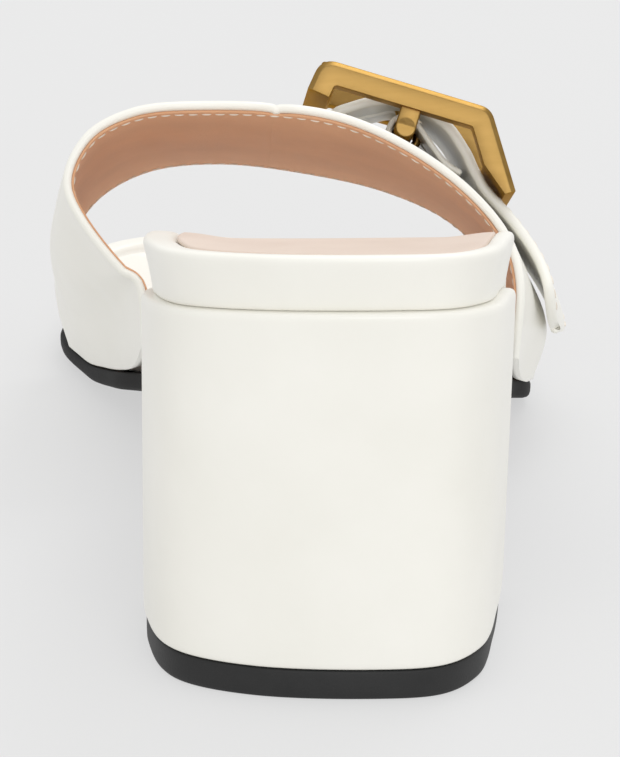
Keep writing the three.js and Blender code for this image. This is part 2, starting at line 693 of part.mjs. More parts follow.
// Prong: curled round the centre bar, through the strap, its tip on the inner end bar.
function makeBuckleProng() {
  const radius = CENTRE_BAR_RADIUS + GAP;
  const bar = new THREE.Vector2(centreBar.x, centreBar.z);
  const rows = [];
  for (let k = 0; k <= PRONG_CURL.steps; k++) {
    const angle = PRONG_CURL.from + ((PRONG_CURL.to - PRONG_CURL.from) * k) / PRONG_CURL.steps;
    const out = new THREE.Vector2(Math.cos(angle), Math.sin(angle));
    rows.push({
      low: bar.clone().addScaledVector(out, radius),
      high: bar.clone().addScaledVector(out, radius + PRONG_THICKNESS),
    });
  }
  for (const { a, low, high } of PRONG_BLADE)
    rows.push({ low: new THREE.Vector2(a, low), high: new THREE.Vector2(a, high) });
  const place = (key) => (i, j) => buckleLocal(
    rows[i][key].x, (j ? 1 : -1) * PRONG_HALF_WIDTH, rows[i][key].y);
  return plate(rows.length - 1, 1, place("high"), place("low"));
}

// ---- Scene graph --------------------------------------------------------------------

const shoe = new THREE.Group();

function addPiece(name, geometry, color, roughness, metalness = 0) {
  geometry.computeVertexNormals();
  const material = new THREE.MeshStandardMaterial({ color, roughness, metalness });
  const mesh = new THREE.Mesh(geometry, material);
  mesh.name = name;
  shoe.add(mesh);
}

addPiece("outsole", makeOutsole(), 0x2f2e2b, 0.75);
addPiece("heel_block", makeHeelBlock(), 0xf1efe8, 0.45);
addPiece("heel_top_lift", makeHeelTopLift(), 0x363636, 0.8);
addPiece("footbed", makeFootbed(), 0xf3f1ea, 0.45);
addPiece("sock", makeSock(), 0xe6d8cd, 0.55);
addPiece("upper", makeUpper(), 0xefede6, 0.45);
addPiece("buckle_strap", makeBuckleStrap(), 0xefede6, 0.45);
addPiece("buckle_loop", makeBuckleLoop(), 0xefede6, 0.45);
addPiece("buckle_frame", makeBuckleFrame(), 0xc6a96f, 0.3, 1);
addPiece("buckle_prong", makeBuckleProng(), 0xc6a96f, 0.3, 1);

export default shoe;
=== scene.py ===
# Looks of a block-heel leather mule, right shoe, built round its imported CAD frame.
# Shapes are worked out in millimetres and stored in metres.
# +Y points to the toe, +X to the outer side of the foot, +Z up; the floor is z = 0.
import math

import bmesh
import bpy
import numpy as np
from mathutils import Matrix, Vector


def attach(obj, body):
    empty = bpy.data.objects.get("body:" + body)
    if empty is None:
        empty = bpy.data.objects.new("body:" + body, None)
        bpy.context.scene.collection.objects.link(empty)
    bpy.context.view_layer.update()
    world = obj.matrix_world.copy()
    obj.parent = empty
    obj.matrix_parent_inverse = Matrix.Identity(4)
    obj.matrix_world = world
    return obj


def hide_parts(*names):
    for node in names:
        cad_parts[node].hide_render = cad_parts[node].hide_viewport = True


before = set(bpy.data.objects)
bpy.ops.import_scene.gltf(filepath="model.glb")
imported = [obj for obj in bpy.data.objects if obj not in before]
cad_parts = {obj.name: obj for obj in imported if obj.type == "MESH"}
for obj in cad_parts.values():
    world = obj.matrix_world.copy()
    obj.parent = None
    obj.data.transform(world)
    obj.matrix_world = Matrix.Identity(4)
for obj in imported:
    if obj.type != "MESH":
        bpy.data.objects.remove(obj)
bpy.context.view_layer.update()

MM = 0.001
MERGE = 0.02 * MM
SHARP_ANGLE = math.radians(50)
BEVEL_ANGLE = math.radians(32)

# ---- Driving sizes, as on the CAD part -----------------------------------------------

GAP = 0.3
LAY_GAP = 0.35
RIM_HEIGHT = 9.0
RIM_HEIGHT_TOE = 6.8
RIM_EASE = (60, 160)
RIM_ROUND = 1.0
FOOT_WIDTH = 60
DISH_DEPTH = 0.8
DISH_RUN = 14
SOCK_STEP = 1.4
SOCK_BORDER = 4.2
SOCK_BORDER_INNER = 6.0
SOCK_BORDER_OUTER = 2.9
# The stations where the border leaves its even width behind the heel, and where it evens out.
BORDER_WIDENS = (0, 1.8)
BORDER_EVENS = (4.5, 7.0)
SOCK_FRONT_STATION = 5.35
SOCK_FRONT_BOW = 0.3
SOCK_LAP = 0.75
SOCK_LIFT = 0.85
SOCK_THICKNESS = 0.9
OUTSOLE_INSET = 0.7
# Where along the shoe the outsole widens to carry the upper, and narrows again.
OUTSOLE_WIDENS_INNER = (96, 114)
OUTSOLE_WIDENS_OUTER = (122, 138)
OUTSOLE_NARROWS = (152, 174)
HEEL_LEDGE = 0.4
TOP_LIFT = 5.2
TOP_LIFT_INSET = 0.5
UPPER_WALL = 2.0
UPPER_STAND = UPPER_WALL + LAY_GAP
STRAP_THICKNESS = 1.8
BAR_WIDTH = 6
BAR_THICKNESS = 4
FOOT_THICKNESS = 2.0
BUCKLE_DEPTH = 39
BUCKLE_LIFT = 11.2
BUCKLE_TILT = 0.1
BUCKLE_TWIST = 0.03
BUCKLE_CORNER = 3.4
BUCKLE_INNER_CORNER = 0.8
BUCKLE_U = 7.8
BUCKLE_V = 0.43
CENTRE_BAR_RADIUS = 1.8
CENTRE_BAR_STANDOFF = 3.9
BREAST_STATION = 4
ROLL_START = 4
ROLL_END = -36

# Footbed outline: inner x, inner y, outer x, outer y, from the heel's back to the toe.
OUTLINE = [
    (8.0, -29.6, 8.0, -29.6),
    (-12.0, -26.4, 19.6, -27.6),
    (-24.6, -16.8, 26.2, -17.8),
    (-29.1, 4.0, 29.8, 4.0),
    (-27.8, 30.0, 32.0, 30.0),
    (-25.8, 58.0, 32.6, 57.0),
    (-26.4, 88.0, 33.7, 83.0),
    (-29.2, 113.0, 35.2, 102.0),
    (-35.8, 140.0, 38.5, 122.0),
    (-39.6, 157.0, 36.8, 143.0),
    (-39.3, 175.5, 30.4, 163.0),
    (-34.2, 190.0, 13.2, 183.4),
    (-21.0, 194.6, -21.0, 194.6),
]
LAST = len(OUTLINE) - 1

# Height of the footbed's underside: y, z, and how much higher the inner edge is.
SOLE_LINE = [
    (-34, 68.0, 0), (-15, 64.1, 0), (0, 60.9, 0.1), (16, 56.9, 0.6), (32, 51.5, 1.6),
    (50, 44.0, 1.4), (68, 34.8, 0.8), (86, 24.6, 0.3), (100, 16.8, 0.4), (114, 10.2, 2.2),
    (126, 5.6, 3.2), (136, 3.3, 2.8), (146, 3.15, 1.8), (158, 3.2, 1.0),
    (170, 3.6, 0.5), (184, 4.4, 0), (206, 6.8, 0),
]

# Heel tread against heel top.
HEEL_SCALE = (0.96, 0.805)
HEEL_SHIFT = (-1.1, -0.2)

# Upper sections, back edge to front edge: where each stands and how it rises.
UPPER_FEET = [
    {"footM": 85, "footL": 86, "crownY": 103.8, "flareM": 0.8, "flareL": 0.8, "dropL": 2.6},
    {"footM": 106, "footL": 104, "crownY": 122, "flareM": 2.2, "flareL": 2.4, "dropL": 2.2},
    {"footM": 128, "footL": 127, "crownY": 140, "flareM": 3.0, "flareL": 2.2, "dropL": 0},
    {"footM": 151, "footL": 149, "crownY": 158, "flareM": 1.6, "flareL": 1.0, "dropL": 0},
]
# The columns between the feet, inner side to outer side: x and z in each section.
UPPER_COLUMNS = [
    [(-32.2, 36.9), (-40.2, 30.5), (-43.0, 22.2), (-43.1, 18.0)],
    [(-41.7, 50.6), (-43.2, 38.5), (-43.6, 30.2), (-40.4, 26.6)],
    [(-38.0, 58.8), (-40.2, 47.3), (-39.6, 38.6), (-35.4, 32.4)],
    [(-29.9, 62.8), (-30.6, 53.2), (-29.5, 45.0), (-26.4, 36.8)],
    [(-17.5, 63.8), (-17.2, 54.6), (-15.8, 46.4), (-13.4, 38.1)],
    [(4.6, 62.1), (4.4, 52.9), (4.0, 44.4), (3.0, 36.1)],
    [(18.4, 56.6), (18.8, 48.2), (18.8, 40.2), (17.0, 32.8)],
    [(29.6, 48.6), (30.2, 41.0), (30.2, 33.8), (28.0, 27.8)],
    [(35.5, 41.2), (38.0, 31.6), (38.2, 24.6), (35.6, 20.4)],
]
CROWN = 4
UPPER_LAST = len(UPPER_COLUMNS) + 3

# Overlay strap: u along the upper, v of its middle, half its width in v, and the height
# of its underside above the upper at its rear and front edges.
STRAP = [
    (6.1, 0.43, 0.195, 0.35, 0.35), (6.6, 0.43, 0.195, 0.35, 0.35),
    (6.9, 0.43, 0.195, 0.6, 0.6), (7.1, 0.43, 0.195, 2.4, 2.4),
    (7.4, 0.43, 0.195, 5.5, 5.5), (7.75, 0.43, 0.195, 7.8, 7.8),
    (8.1, 0.43, 0.195, 7.2, 7.0), (8.5, 0.43, 0.195, 4.9, 4.2),
    (8.8, 0.43, 0.195, 2.6, 1.6), (9.1, 0.43, 0.195, 1.5, 0.4),
    (9.6, 0.42, 0.195, 1.5, 0.35), (10.2, 0.41, 0.19, 1.8, 0.8),
    (10.8, 0.4, 0.19, 1.8, 1.2), (11.2, 0.4, 0.19, 1.5, 1.5),
]
STRAP_TIP = 11.15
STRAP_TIP_RUN = 0.55
STRAP_TIP_POWER = 2.6
# Half the strap's width in millimetres, and how far in its edge and its stitches lie.
STRAP_HALF_WIDTH = 12
EDGE_SHARE = 1 - 0.9 / STRAP_HALF_WIDTH
STITCH_SHARE = 1 - 2.1 / STRAP_HALF_WIDTH

# The buckle's side view: along the strap, and up from the top face.
BUCKLE_SIDE = [(-18.9, -5.8), (-18.1, 0), (12.5, 0), (20.7, -12.6)]


# ---- Curves and tables ---------------------------------------------------------------

def curve_at(points, at, closed=False):
    """Centripetal curve through points, read at span numbers."""
    p = np.asarray(points, float)
    n = len(p)
    at = np.atleast_1d(np.asarray(at, float))
    whole = np.floor(at).astype(int)
    if not closed:
        whole = np.clip(whole, 0, n - 2)
    w = (at - whole)[:, None]

    def corner(k):
        if closed:
            return p[k % n]
        ends = np.vstack([2 * p[0] - p[1], p, 2 * p[-1] - p[-2]])
        return ends[k + 1]

    p0, p1, p2, p3 = (corner(whole + k) for k in (-1, 0, 1, 2))
    d0, d1, d2 = (
        np.sqrt(np.linalg.norm(b - a, axis=1))[:, None]
        for a, b in ((p0, p1), (p1, p2), (p2, p3))
    )
    t1 = ((p1 - p0) / d0 - (p2 - p0) / (d0 + d1) + (p2 - p1) / d1) * d1
    t2 = ((p2 - p1) / d1 - (p3 - p1) / (d1 + d2) + (p3 - p2) / d2) * d1
    return (
        p1 + t1 * w
        + (-3 * p1 + 3 * p2 - 2 * t1 - t2) * w**2
        + (2 * p1 - 2 * p2 + t1 + t2) * w**3
    )


FINE = 60


def reader(rows, column=1):
    """Smooth reading of a table's column by its first column."""
    pairs = [(row[0], row[column]) for row in rows]
    dense = curve_at(pairs, np.linspace(0, len(pairs) - 1, FINE * (len(pairs) - 1) + 1))
    return lambda at: np.interp(at, dense[:, 0], dense[:, 1])


def smoothstep(x, low, high):
    t = np.clip((x - low) / (high - low), 0, 1)
    return t * t * (3 - 2 * t)


def lerp(a, b, t):
    return a + (b - a) * t


sole_middle = reader(SOLE_LINE)
sole_roll = reader(SOLE_LINE, 2)


def sole_z(x, y):
    share = np.clip((x - ROLL_START) / (ROLL_END - ROLL_START), 0, 1.3)
    return sole_middle(y) + sole_roll(y) * share**2


def slope_factor(y):
    return np.hypot(1, (sole_middle(y + 1) - sole_middle(y - 1)) / 2)


def rim_height(y):
    return lerp(RIM_HEIGHT, RIM_HEIGHT_TOE, smoothstep(y, *RIM_EASE))


# ---- Footbed outline -----------------------------------------------------------------

_ring = [(lx, ly) for _, _, lx, ly in OUTLINE]
_ring += [(mx, my) for mx, my, _, _ in OUTLINE[-2:0:-1]]
_ring_at = np.arange(0, 2 * LAST, 1 / FINE)
_ring_xy = curve_at(_ring, _ring_at, closed=True)
_along = np.roll(_ring_xy, -2, axis=0) - np.roll(_ring_xy, 2, axis=0)
_along /= np.linalg.norm(_along, axis=1)[:, None]
_ring_data = np.column_stack([_ring_xy, _along[:, 1], -_along[:, 0]])


def outline_at(side, station, offset=0.0):
    """Plan point on one side (-1 inner, 1 outer) at a station, moved out by offset."""
    station = np.asarray(station, float)
    at = station if side > 0 else 2 * LAST - station
    x, y, nx, ny = (np.interp(at, _ring_at, col, period=2 * LAST) for col in _ring_data.T)
    return np.stack([x, y], axis=-1) + np.stack([nx, ny], axis=-1) * offset


def station_at_y(side, y):
    s = np.linspace(0.2, LAST - 0.2, 800)
    return np.interp(y, outline_at(side, s)[:, 1], s)


def across(station, offset, share):
    """Plan point across the foot at a station, between the two sides moved by offset."""
    offset = np.asarray(offset, float)[..., None]
    a, b = (outline_at(side, station, offset) for side in (-1, 1))
    return lerp(a, b, np.asarray(share, float)[..., None])


def eased_stations(start, end, count, rounding=0.75):
    t = np.linspace(0, 1, count + 1)
    return lerp(start, end, lerp(t, 0.5 - 0.5 * np.cos(math.pi * t), rounding))


# ---- Mesh builders -------------------------------------------------------------------

def placed(name, data):
    """An object with this data, in the scene."""
    obj = bpy.data.objects.new(name, data)
    bpy.context.scene.collection.objects.link(obj)
    return obj


def new_object(name, verts, faces, smooth=True):
    """A mesh object from millimetre points, with doubles merged and normals outward."""
    mesh = bpy.data.meshes.new(name)
    mesh.from_pydata((np.asarray(verts, float) * MM).tolist(), [], faces)
    bm = bmesh.new()
    bm.from_mesh(mesh)
    bmesh.ops.remove_doubles(bm, verts=bm.verts, dist=MERGE)
    bmesh.ops.dissolve_degenerate(bm, edges=bm.edges, dist=1e-7)
    bmesh.ops.recalc_face_normals(bm, faces=bm.faces)
    bm.to_mesh(mesh)
    bm.free()
    if smooth:
        mesh.shade_smooth()
    return placed(name, mesh)


def loop_faces(rows, columns, offset=0):
    """Quads of a grid whose columns close on themselves."""
    faces = []
    for i in range(rows - 1):
        for j in range(columns):
            k = (j + 1) % columns
            a = offset + i * columns
            faces.append((a + j, a + k, a + columns + k, a + columns + j))
    return faces


def zip_cap(start, columns):
    """Quads that close a flat ring by pairing its first and last corners."""
    return [
        (start + j, start + j + 1, start + columns - 2 - j, start + columns - 1 - j)
        for j in range(columns // 2 - 1)
    ]


def lofted(name, rings, caps=(True, True)):
    """Closed loops of the same length, joined in order, with zipped ends."""
    rings = np.asarray(rings)
    rows, columns = rings.shape[:2]
    faces = loop_faces(rows, columns)
    if caps[0]:
        faces += zip_cap(0, columns)
    if caps[1]:
        faces += zip_cap((rows - 1) * columns, columns)
    return new_object(name, rings.reshape(-1, 3), faces)


def unit(a):
    return a / np.maximum(np.linalg.norm(a, axis=-1, keepdims=True), 1e-9)


def strip(name, middle, thickness, rounded_ends=(True, True), arc=5):
    """A strip of leather or metal around a grid of its middle surface (rows along it,
    columns across it), with rounded edges and, where asked, rounded ends."""
    middle = np.asarray(middle)
    along = unit(np.gradient(middle, axis=0))
    sideways = unit(np.gradient(middle, axis=1))
    normal = unit(np.cross(along, sideways))
    thick = np.broadcast_to(np.asarray(thickness, float), middle.shape[:1])
    half = thick / 2

    def ring(row, p, h):
        n = normal[row]
        out = [p + n * h]
        for end in (-1, 0):
            turn = np.linspace(0, math.pi, arc + 2)[1:-1]
            way = sideways[row, end] * (1 if end == -1 else -1)
            face = n[end] * (1 if end == -1 else -1)
            out.append(
                p[end] + np.cos(turn)[:, None] * face * h + np.sin(turn)[:, None] * way * h)
            if end == -1:
                out.append((p - n * h)[::-1])
        return np.vstack(out)

    rings = [ring(i, middle[i], half[i]) for i in range(len(middle))]
    for end, place in ((0, 0), (-1, len(rings))):
        if not rounded_ends[end]:
            continue
        extra = []
        for turn in np.linspace(0, math.pi / 2, arc + 2)[1:]:
            push = along[end] * half[end] * math.sin(turn) * (1 if end == -1 else -1)
            extra.append(ring(end, middle[end] + push, half[end] * max(math.cos(turn), 0.06)))
        if end == 0:
            rings = extra[::-1] + rings
        else:
            rings += extra
    rings = np.array(rings)
    shift = (rings.shape[1] - 2 * middle.shape[1]) // 4
    rings = np.roll(rings, shift, axis=1)
    return lofted(name, rings)


def bake_modifiers(obj):
    """Applies an object's modifiers to its own mesh."""
    graph = bpy.context.evaluated_depsgraph_get()
    mesh = bpy.data.meshes.new_from_object(obj.evaluated_get(graph))
    obj.modifiers.clear()
    old = obj.data
    obj.data = mesh
    mesh.name = obj.name
    bpy.data.meshes.remove(old)
    return obj


def sharpen(obj):
    """Smooth shading except across edges sharper than SHARP_ANGLE."""
    bm = bmesh.new()
    bm.from_mesh(obj.data)
    for edge in bm.edges:
        edge.smooth = len(edge.link_faces) < 2 or edge.calc_face_angle(0) < SHARP_ANGLE
    for face in bm.faces:
        face.smooth = True
    bm.to_mesh(obj.data)
    bm.free()


# ---- Footbed, sock and outsole -------------------------------------------------------

# A half section from the middle of the underside round the edge to the middle of the top:
# share of the way across, distance in from the outline, height (f: of the rim's height).
FOOTBED_PROFILE = [
    (0.5, 2.6, 0, 0), (0.25, 2.6, 0, 0), (0.06, 2.6, 0, 0), (0, 2.2, 0, 0),
    (0, 1.75, 0, 0.02), (0, 1.55, 0, 0.12), (0, 1.46, 0, 0.35), (0, 1.42, 0, 0.8),
    (0, 1.2, 0.25, 0), (0, 0.85, 0.45, 0), (0, 0.45, 0.65, 0), (0, 0.12, 0.8, 0),
    (0, 0.0, 0.88, 0), (0, 0.05, 0.93, 0), (0, 0.3, 0.975, 0), (0, 0.7, 0.998, 0),
    (0, 1.3, 1, 0.05), (0, 2.1, 1, 0.05), (0, 2.9, 1, -0.04), (0, 3.5, 1, -0.3),
    (0, 3.9, 1, -0.8), (0, 4.2, 1, -1.35), (0, 4.6, 1, -1.42),
    (0.04, 4.6, 1, -1.42), (0.1, 4.6, 1, -1.42), (0.18, 4.6, 1, -1.42),
    (0.3, 4.6, 1, -1.42), (0.42, 4.6, 1, -1.42),
]


def section_loop(profile, station, height_of, edge_of=None):
    """One closed loop round the foot at each station: the inner half, then the outer."""
    outer_half = [(1 - share, *rest) for share, *rest in profile[::-1] if share != 0.5]
    loops = []
    for share, inset, f, extra in [*profile, *outer_half]:
        if edge_of:
            offset = edge_of(share) - inset
        elif f == 1 and inset > RIM_ROUND:
            offset = -RIM_ROUND - (inset - RIM_ROUND) * border_scale(station, share < 0.5)
        else:
            offset = -inset
        xy = across(station, offset, np.full(len(station), share))
        loops.append(np.column_stack([xy, height_of(xy, share, inset, f, extra)]))
    return np.array(loops).transpose(1, 0, 2)


def dish(share, inset):
    """How far the dish drops at a share of the way across, past an inset from the edge."""
    inward = inset + np.minimum(share, 1 - share) * FOOT_WIDTH
    return DISH_DEPTH * smoothstep(inward, SOCK_BORDER, DISH_RUN)


def footbed_height(xy, share, inset, f, extra):
    x, y = xy[:, 0], xy[:, 1]
    z = sole_z(x, y) + f * rim_height(y) * slope_factor(y) + extra
    return z - dish(share, inset) if f == 1 and extra < -1 else z


def border_scale(station, inner):
    """The rim's top is broader inside than outside along the heel, and even at both ends."""
    even = (SOCK_BORDER_INNER + SOCK_BORDER_OUTER) / 2
    heel = SOCK_BORDER_INNER if inner else SOCK_BORDER_OUTER
    border = lerp(even, heel, smoothstep(station, *BORDER_WIDENS))
    return lerp(border / SOCK_BORDER, 1, smoothstep(station, *BORDER_EVENS))


def make_footbed():
    station = eased_stations(0, LAST, 190)
    rings = section_loop(FOOTBED_PROFILE, station, footbed_height)
    return lofted("footbed_wrap", rings, caps=(False, False))


def make_sock():
    """The sock over the heel, with a bowed front edge at the waist."""
    shares = np.concatenate([[0, 0.004, 0.012], np.linspace(0.03, 0.97, 45), [0.988, 0.996, 1]])
    rows = []
    for t in eased_stations(0.02, 1, 130, 0.6):
        bow = SOCK_FRONT_BOW * (2 * shares - 1) ** 2
        station = (SOCK_FRONT_STATION - bow) * t
        border = (SOCK_BORDER - SOCK_LAP) * np.array(
            [border_scale(station, inner) for inner in (True, False)])[..., None]
        a, b = (
            outline_at(side, station, -RIM_ROUND - width) for side, width in zip((-1, 1), border))
        xy = lerp(a, b, shares[:, None])
        x, y = xy.T
        z = sole_z(x, y) + rim_height(y) * slope_factor(y) - SOCK_STEP + SOCK_LIFT
        z = z - dish(shares, SOCK_BORDER)
        rows.append(np.column_stack([xy, z]))
    return strip("heel_sock", rows, SOCK_THICKNESS, rounded_ends=(False, True), arc=3)


def outsole_edge(y, widens):
    """How far the outsole's edge stands out from the footbed's outline."""
    wide = smoothstep(y, *widens) * (1 - smoothstep(y, *OUTSOLE_NARROWS))
    return lerp(-OUTSOLE_INSET, UPPER_STAND, wide)


# The same columns for the outsole, its heights measured from the footbed's underside.
OUTSOLE_PROFILE = [
    (0.5, 1.2, 0, -3.0), (0.25, 1.2, 0, -3.0), (0.08, 1.2, 0, -3.0), (0, 1.2, 0, -3.0),
    (0, 0.6, 0, -2.85), (0, 0.25, 0, -2.5), (0, 0.06, 0, -1.9), (0, 0, 0, -1.2),
    (0, 0.0, 0, -0.5), (0, 0.12, 0, -0.2), (0, 0.4, 0, 0), (0, 1.2, 0, 0),
    (0.08, 1.2, 0, 0), (0.25, 1.2, 0, 0),
]


def make_outsole():
    station = eased_stations(BREAST_STATION + 0.05, LAST, 170, 0.5)
    y_mid = across(station, 0, np.full(len(station), 0.5))[:, 1]
    inner = outsole_edge(y_mid, OUTSOLE_WIDENS_INNER)
    outer = outsole_edge(y_mid, OUTSOLE_WIDENS_OUTER)

    def height(xy, share, inset, f, extra):
        x, y = xy[:, 0], xy[:, 1]
        return np.maximum(0, sole_z(x, y) - GAP + extra * slope_factor(y))

    rings = section_loop(
        OUTSOLE_PROFILE, station, height, edge_of=lambda share: lerp(inner, outer, share))
    return lofted("outsole_sheet", rings, caps=(True, False))


# ---- Heel ----------------------------------------------------------------------------

HEEL_RING_POINTS = 260


def heel_rings(inset):
    """Rings round the heel's tread and round its top, moved in by inset."""
    station = np.linspace(0, BREAST_STATION, 90)
    outer = outline_at(1, station, HEEL_LEDGE)
    inner = outline_at(-1, station, HEEL_LEDGE)[::-1]
    breast = lerp(outer[-1], inner[0], np.linspace(0, 1, 42)[1:-1, None])
    plan = np.vstack([outer, breast, inner[:-1]])
    closed = np.vstack([plan, plan[:1]])
    run = np.concatenate([[0], np.cumsum(np.linalg.norm(np.diff(closed, axis=0), axis=1))])
    at = np.linspace(0, run[-1], HEEL_RING_POINTS, endpoint=False)
    xy = np.column_stack([np.interp(at, run, closed[:, k]) for k in (0, 1)])
    for _ in range(5):
        xy = (np.roll(xy, 1, axis=0) + 2 * xy + np.roll(xy, -1, axis=0)) / 4
    way = unit(np.roll(xy, -1, axis=0) - np.roll(xy, 1, axis=0))
    xy = xy - np.column_stack([way[:, 1], -way[:, 0]]) * np.asarray(inset)
    top = np.column_stack([xy, sole_z(xy[:, 0], xy[:, 1]) - GAP])
    tread = np.column_stack([
        xy[:, 0] * HEEL_SCALE[0] + HEEL_SHIFT[0],
        xy[:, 1] * HEEL_SCALE[1] + HEEL_SHIFT[1],
        np.zeros(HEEL_RING_POINTS)])
    return tread, top


def heel_point_ring(height=None, below_top=None, inset=0.0):
    """Ring at a height above the tread, or at a distance below the heel's top."""
    tread, top = heel_rings(inset)
    level = (height if height is not None else top[:, 2] - below_top) / top[:, 2]
    return lerp(tread, top, np.asarray(level).reshape(-1, 1))


def ring_stack(name, rings):
    """Rings from bottom to top, closed with shrinking rings round a flat cap."""
    rings = list(rings)
    for end, ring in ((0, rings[0]), (-1, rings[-1])):
        middle = ring.mean(axis=0)
        shrunk = [lerp(ring, middle, t) for t in (0.12, 0.4, 0.7, 0.9)]
        rings = shrunk[::-1] + rings if end == 0 else rings + shrunk
    return lofted(name, rings)


# Rounded edges of the heel: a height (above its base, below its top, above the tread) and
# how far the ring is moved in there.
HEEL_BASE_EDGE = [(0, 1.0), (0.05, 0.5), (0.25, 0.18), (0.6, 0.04), (1.2, 0.0)]
HEEL_TOP_EDGE = [
    (1.5, 0.0), (0.9, 0.05), (0.45, 0.2), (0.12, 0.5), (-0.06, 0.95), (-0.1, 1.5),
    (-0.14, 1.95), (-0.27, 2.2),
]
TOP_LIFT_EDGE = [
    (0.0, 1.5), (0.0, 0.95), (0.12, 0.5), (0.4, 0.2), (0.9, 0.05), (2.0, 0.0),
    (3.5, 0.0), (4.7, 0.0), (5.0, 0.1), (5.12, 0.5),
]


def make_heel_block():
    base = TOP_LIFT + GAP / 2
    rings = [heel_point_ring(height=base + h, inset=i) for h, i in HEEL_BASE_EDGE]
    low, high = rings[-1], heel_point_ring(below_top=1.6)
    rings += [lerp(low, high, t) for t in np.linspace(0.06, 0.97, 34)]
    rings += [heel_point_ring(below_top=d, inset=i) for d, i in HEEL_TOP_EDGE]
    return ring_stack("heel_leather", rings)


def make_top_lift():
    return ring_stack("top_lift_rubber", [
        heel_point_ring(height=h, inset=TOP_LIFT_INSET + i) for h, i in TOP_LIFT_EDGE])


# ---- Upper ---------------------------------------------------------------------------

_section_v = np.linspace(0, 1, len(UPPER_FEET))
upper_number = {
    key: reader([(v, row[key]) for v, row in zip(_section_v, UPPER_FEET)])
    for key in UPPER_FEET[0]
}


def foot_points(side, foot_y, flare, drop, crown_y, crown_z):
    """A foot of the upper's section: its base, its point at the rim, and its lean."""
    base_xy = outline_at(side, station_at_y(side, foot_y), UPPER_STAND)
    ground = float(sole_z(*base_xy))
    lean = (crown_y - foot_y) / (crown_z - (ground - drop))
    rise = float(rim_height(foot_y) * slope_factor(foot_y))
    top_xy = outline_at(side, station_at_y(side, foot_y + lean * rise), UPPER_STAND + flare)
    base = np.array([*base_xy, ground - drop])
    return base, np.array([*top_xy, ground + rise]), lean, foot_y


def upper_section(v):
    """The upper's section at v: its columns from the inner foot to the outer foot."""
    at = v * (len(UPPER_FEET) - 1)
    columns = np.array([
        curve_at([(*xz, s) for xz, s in zip(column, _section_v)], at)[0][:2]
        for column in UPPER_COLUMNS])
    read = {key: float(f(v)) for key, f in upper_number.items()}
    crown = columns[CROWN]
    inner = foot_points(-1, read["footM"], read["flareM"], 0, read["crownY"], crown[1])
    outer = foot_points(
        1, read["footL"], read["flareL"], read["dropL"], read["crownY"], crown[1])
    arch = []
    for x, z in columns:
        base, _, lean, foot_y = inner if x < crown[0] else outer
        arch.append((x, foot_y + lean * (z - base[2]), z))
    return np.array([inner[0], inner[1], *arch, outer[1], outer[0]])


GRID_U = np.linspace(0, UPPER_LAST, UPPER_LAST * 40 + 1)
GRID_V = np.linspace(0, 1, 141)
GRID_P = np.array([curve_at(upper_section(v), GRID_U) for v in GRID_V]).transpose(1, 0, 2)
GRID_N = unit(np.cross(np.gradient(GRID_P, axis=0), np.gradient(GRID_P, axis=1)))


def grid_read(grid, u, v):
    """Bilinear reading of a grid on the upper's (u, v)."""
    fu = np.clip(np.asarray(u, float) / GRID_U[1], 0, len(GRID_U) - 1.001)
    fv = np.clip(np.asarray(v, float) / GRID_V[1], 0, len(GRID_V) - 1.001)
    iu, iv = fu.astype(int), fv.astype(int)
    wu, wv = (fu - iu)[..., None], (fv - iv)[..., None]
    return lerp(
        lerp(grid[iu, iv], grid[iu + 1, iv], wu),
        lerp(grid[iu, iv + 1], grid[iu + 1, iv + 1], wu), wv)


def on_upper(u, v, lift=0.0):
    """Points over the upper's outer face, raised along its normal by lift."""
    u, v = np.broadcast_arrays(u, v)
    return grid_read(GRID_P, u, v) + grid_read(GRID_N, u, v) * np.asarray(lift, float)[..., None]


# Soft creases and swells of the upper: where, how far they reach in u and v, how they
# slant, and how deep (negative) or proud (positive) they are.
CREASES = [
    {"u": 1.5, "v": 0.30, "long": 0.30, "wide": 0.030, "slant": -0.5, "depth": -0.30},
    {"u": 1.9, "v": 0.55, "long": 0.28, "wide": 0.035, "slant": -0.7, "depth": -0.26},
    {"u": 1.2, "v": 0.78, "long": 0.22, "wide": 0.030, "slant": -0.4, "depth": -0.22},
    {"u": 2.6, "v": 0.42, "long": 0.45, "wide": 0.090, "slant": -0.3, "depth": 0.22},
    {"u": 10.6, "v": 0.28, "long": 0.28, "wide": 0.030, "slant": 0.5, "depth": -0.26},
    {"u": 10.9, "v": 0.62, "long": 0.25, "wide": 0.035, "slant": 0.6, "depth": -0.24},
    {"u": 4.6, "v": 0.60, "long": 0.70, "wide": 0.110, "slant": 0.2, "depth": -0.20},
]
# The seam over the instep, its groove, and the notch it makes in the topline.
SEAM_U = 6.57
GROOVE_DEPTH = 0.28
GROOVE_WIDTH = 0.018
NOTCH_DEPTH = 1.1
NOTCH_WIDTH = 0.09
LINING_SEAM_U = SEAM_U - 0.01


def crease_lift(u, v):
    """How far creases, swells and the seam's groove raise the upper's face."""
    total = np.zeros(np.broadcast(u, v).shape)
    for c in CREASES:
        du = (u - c["u"]) / c["long"]
        dv = (v - c["v"] - c["slant"] * 0.1 * (u - c["u"])) / c["wide"]
        total += c["depth"] * np.exp(-(du**2) / 2 - dv**2 / 2)
    return total - GROOVE_DEPTH * np.exp(-(((u - SEAM_U) / GROOVE_WIDTH) ** 2))


def edge_v(u, from_edge, front):
    """v at a distance in millimetres from the upper's back or front edge."""
    step = np.linalg.norm(
        on_upper(u, np.full_like(u, 0.98 if front else 0.02))
        - on_upper(u, np.full_like(u, 0.96 if front else 0.0)), axis=-1) / 0.02
    return 1 - from_edge / step if front else from_edge / step


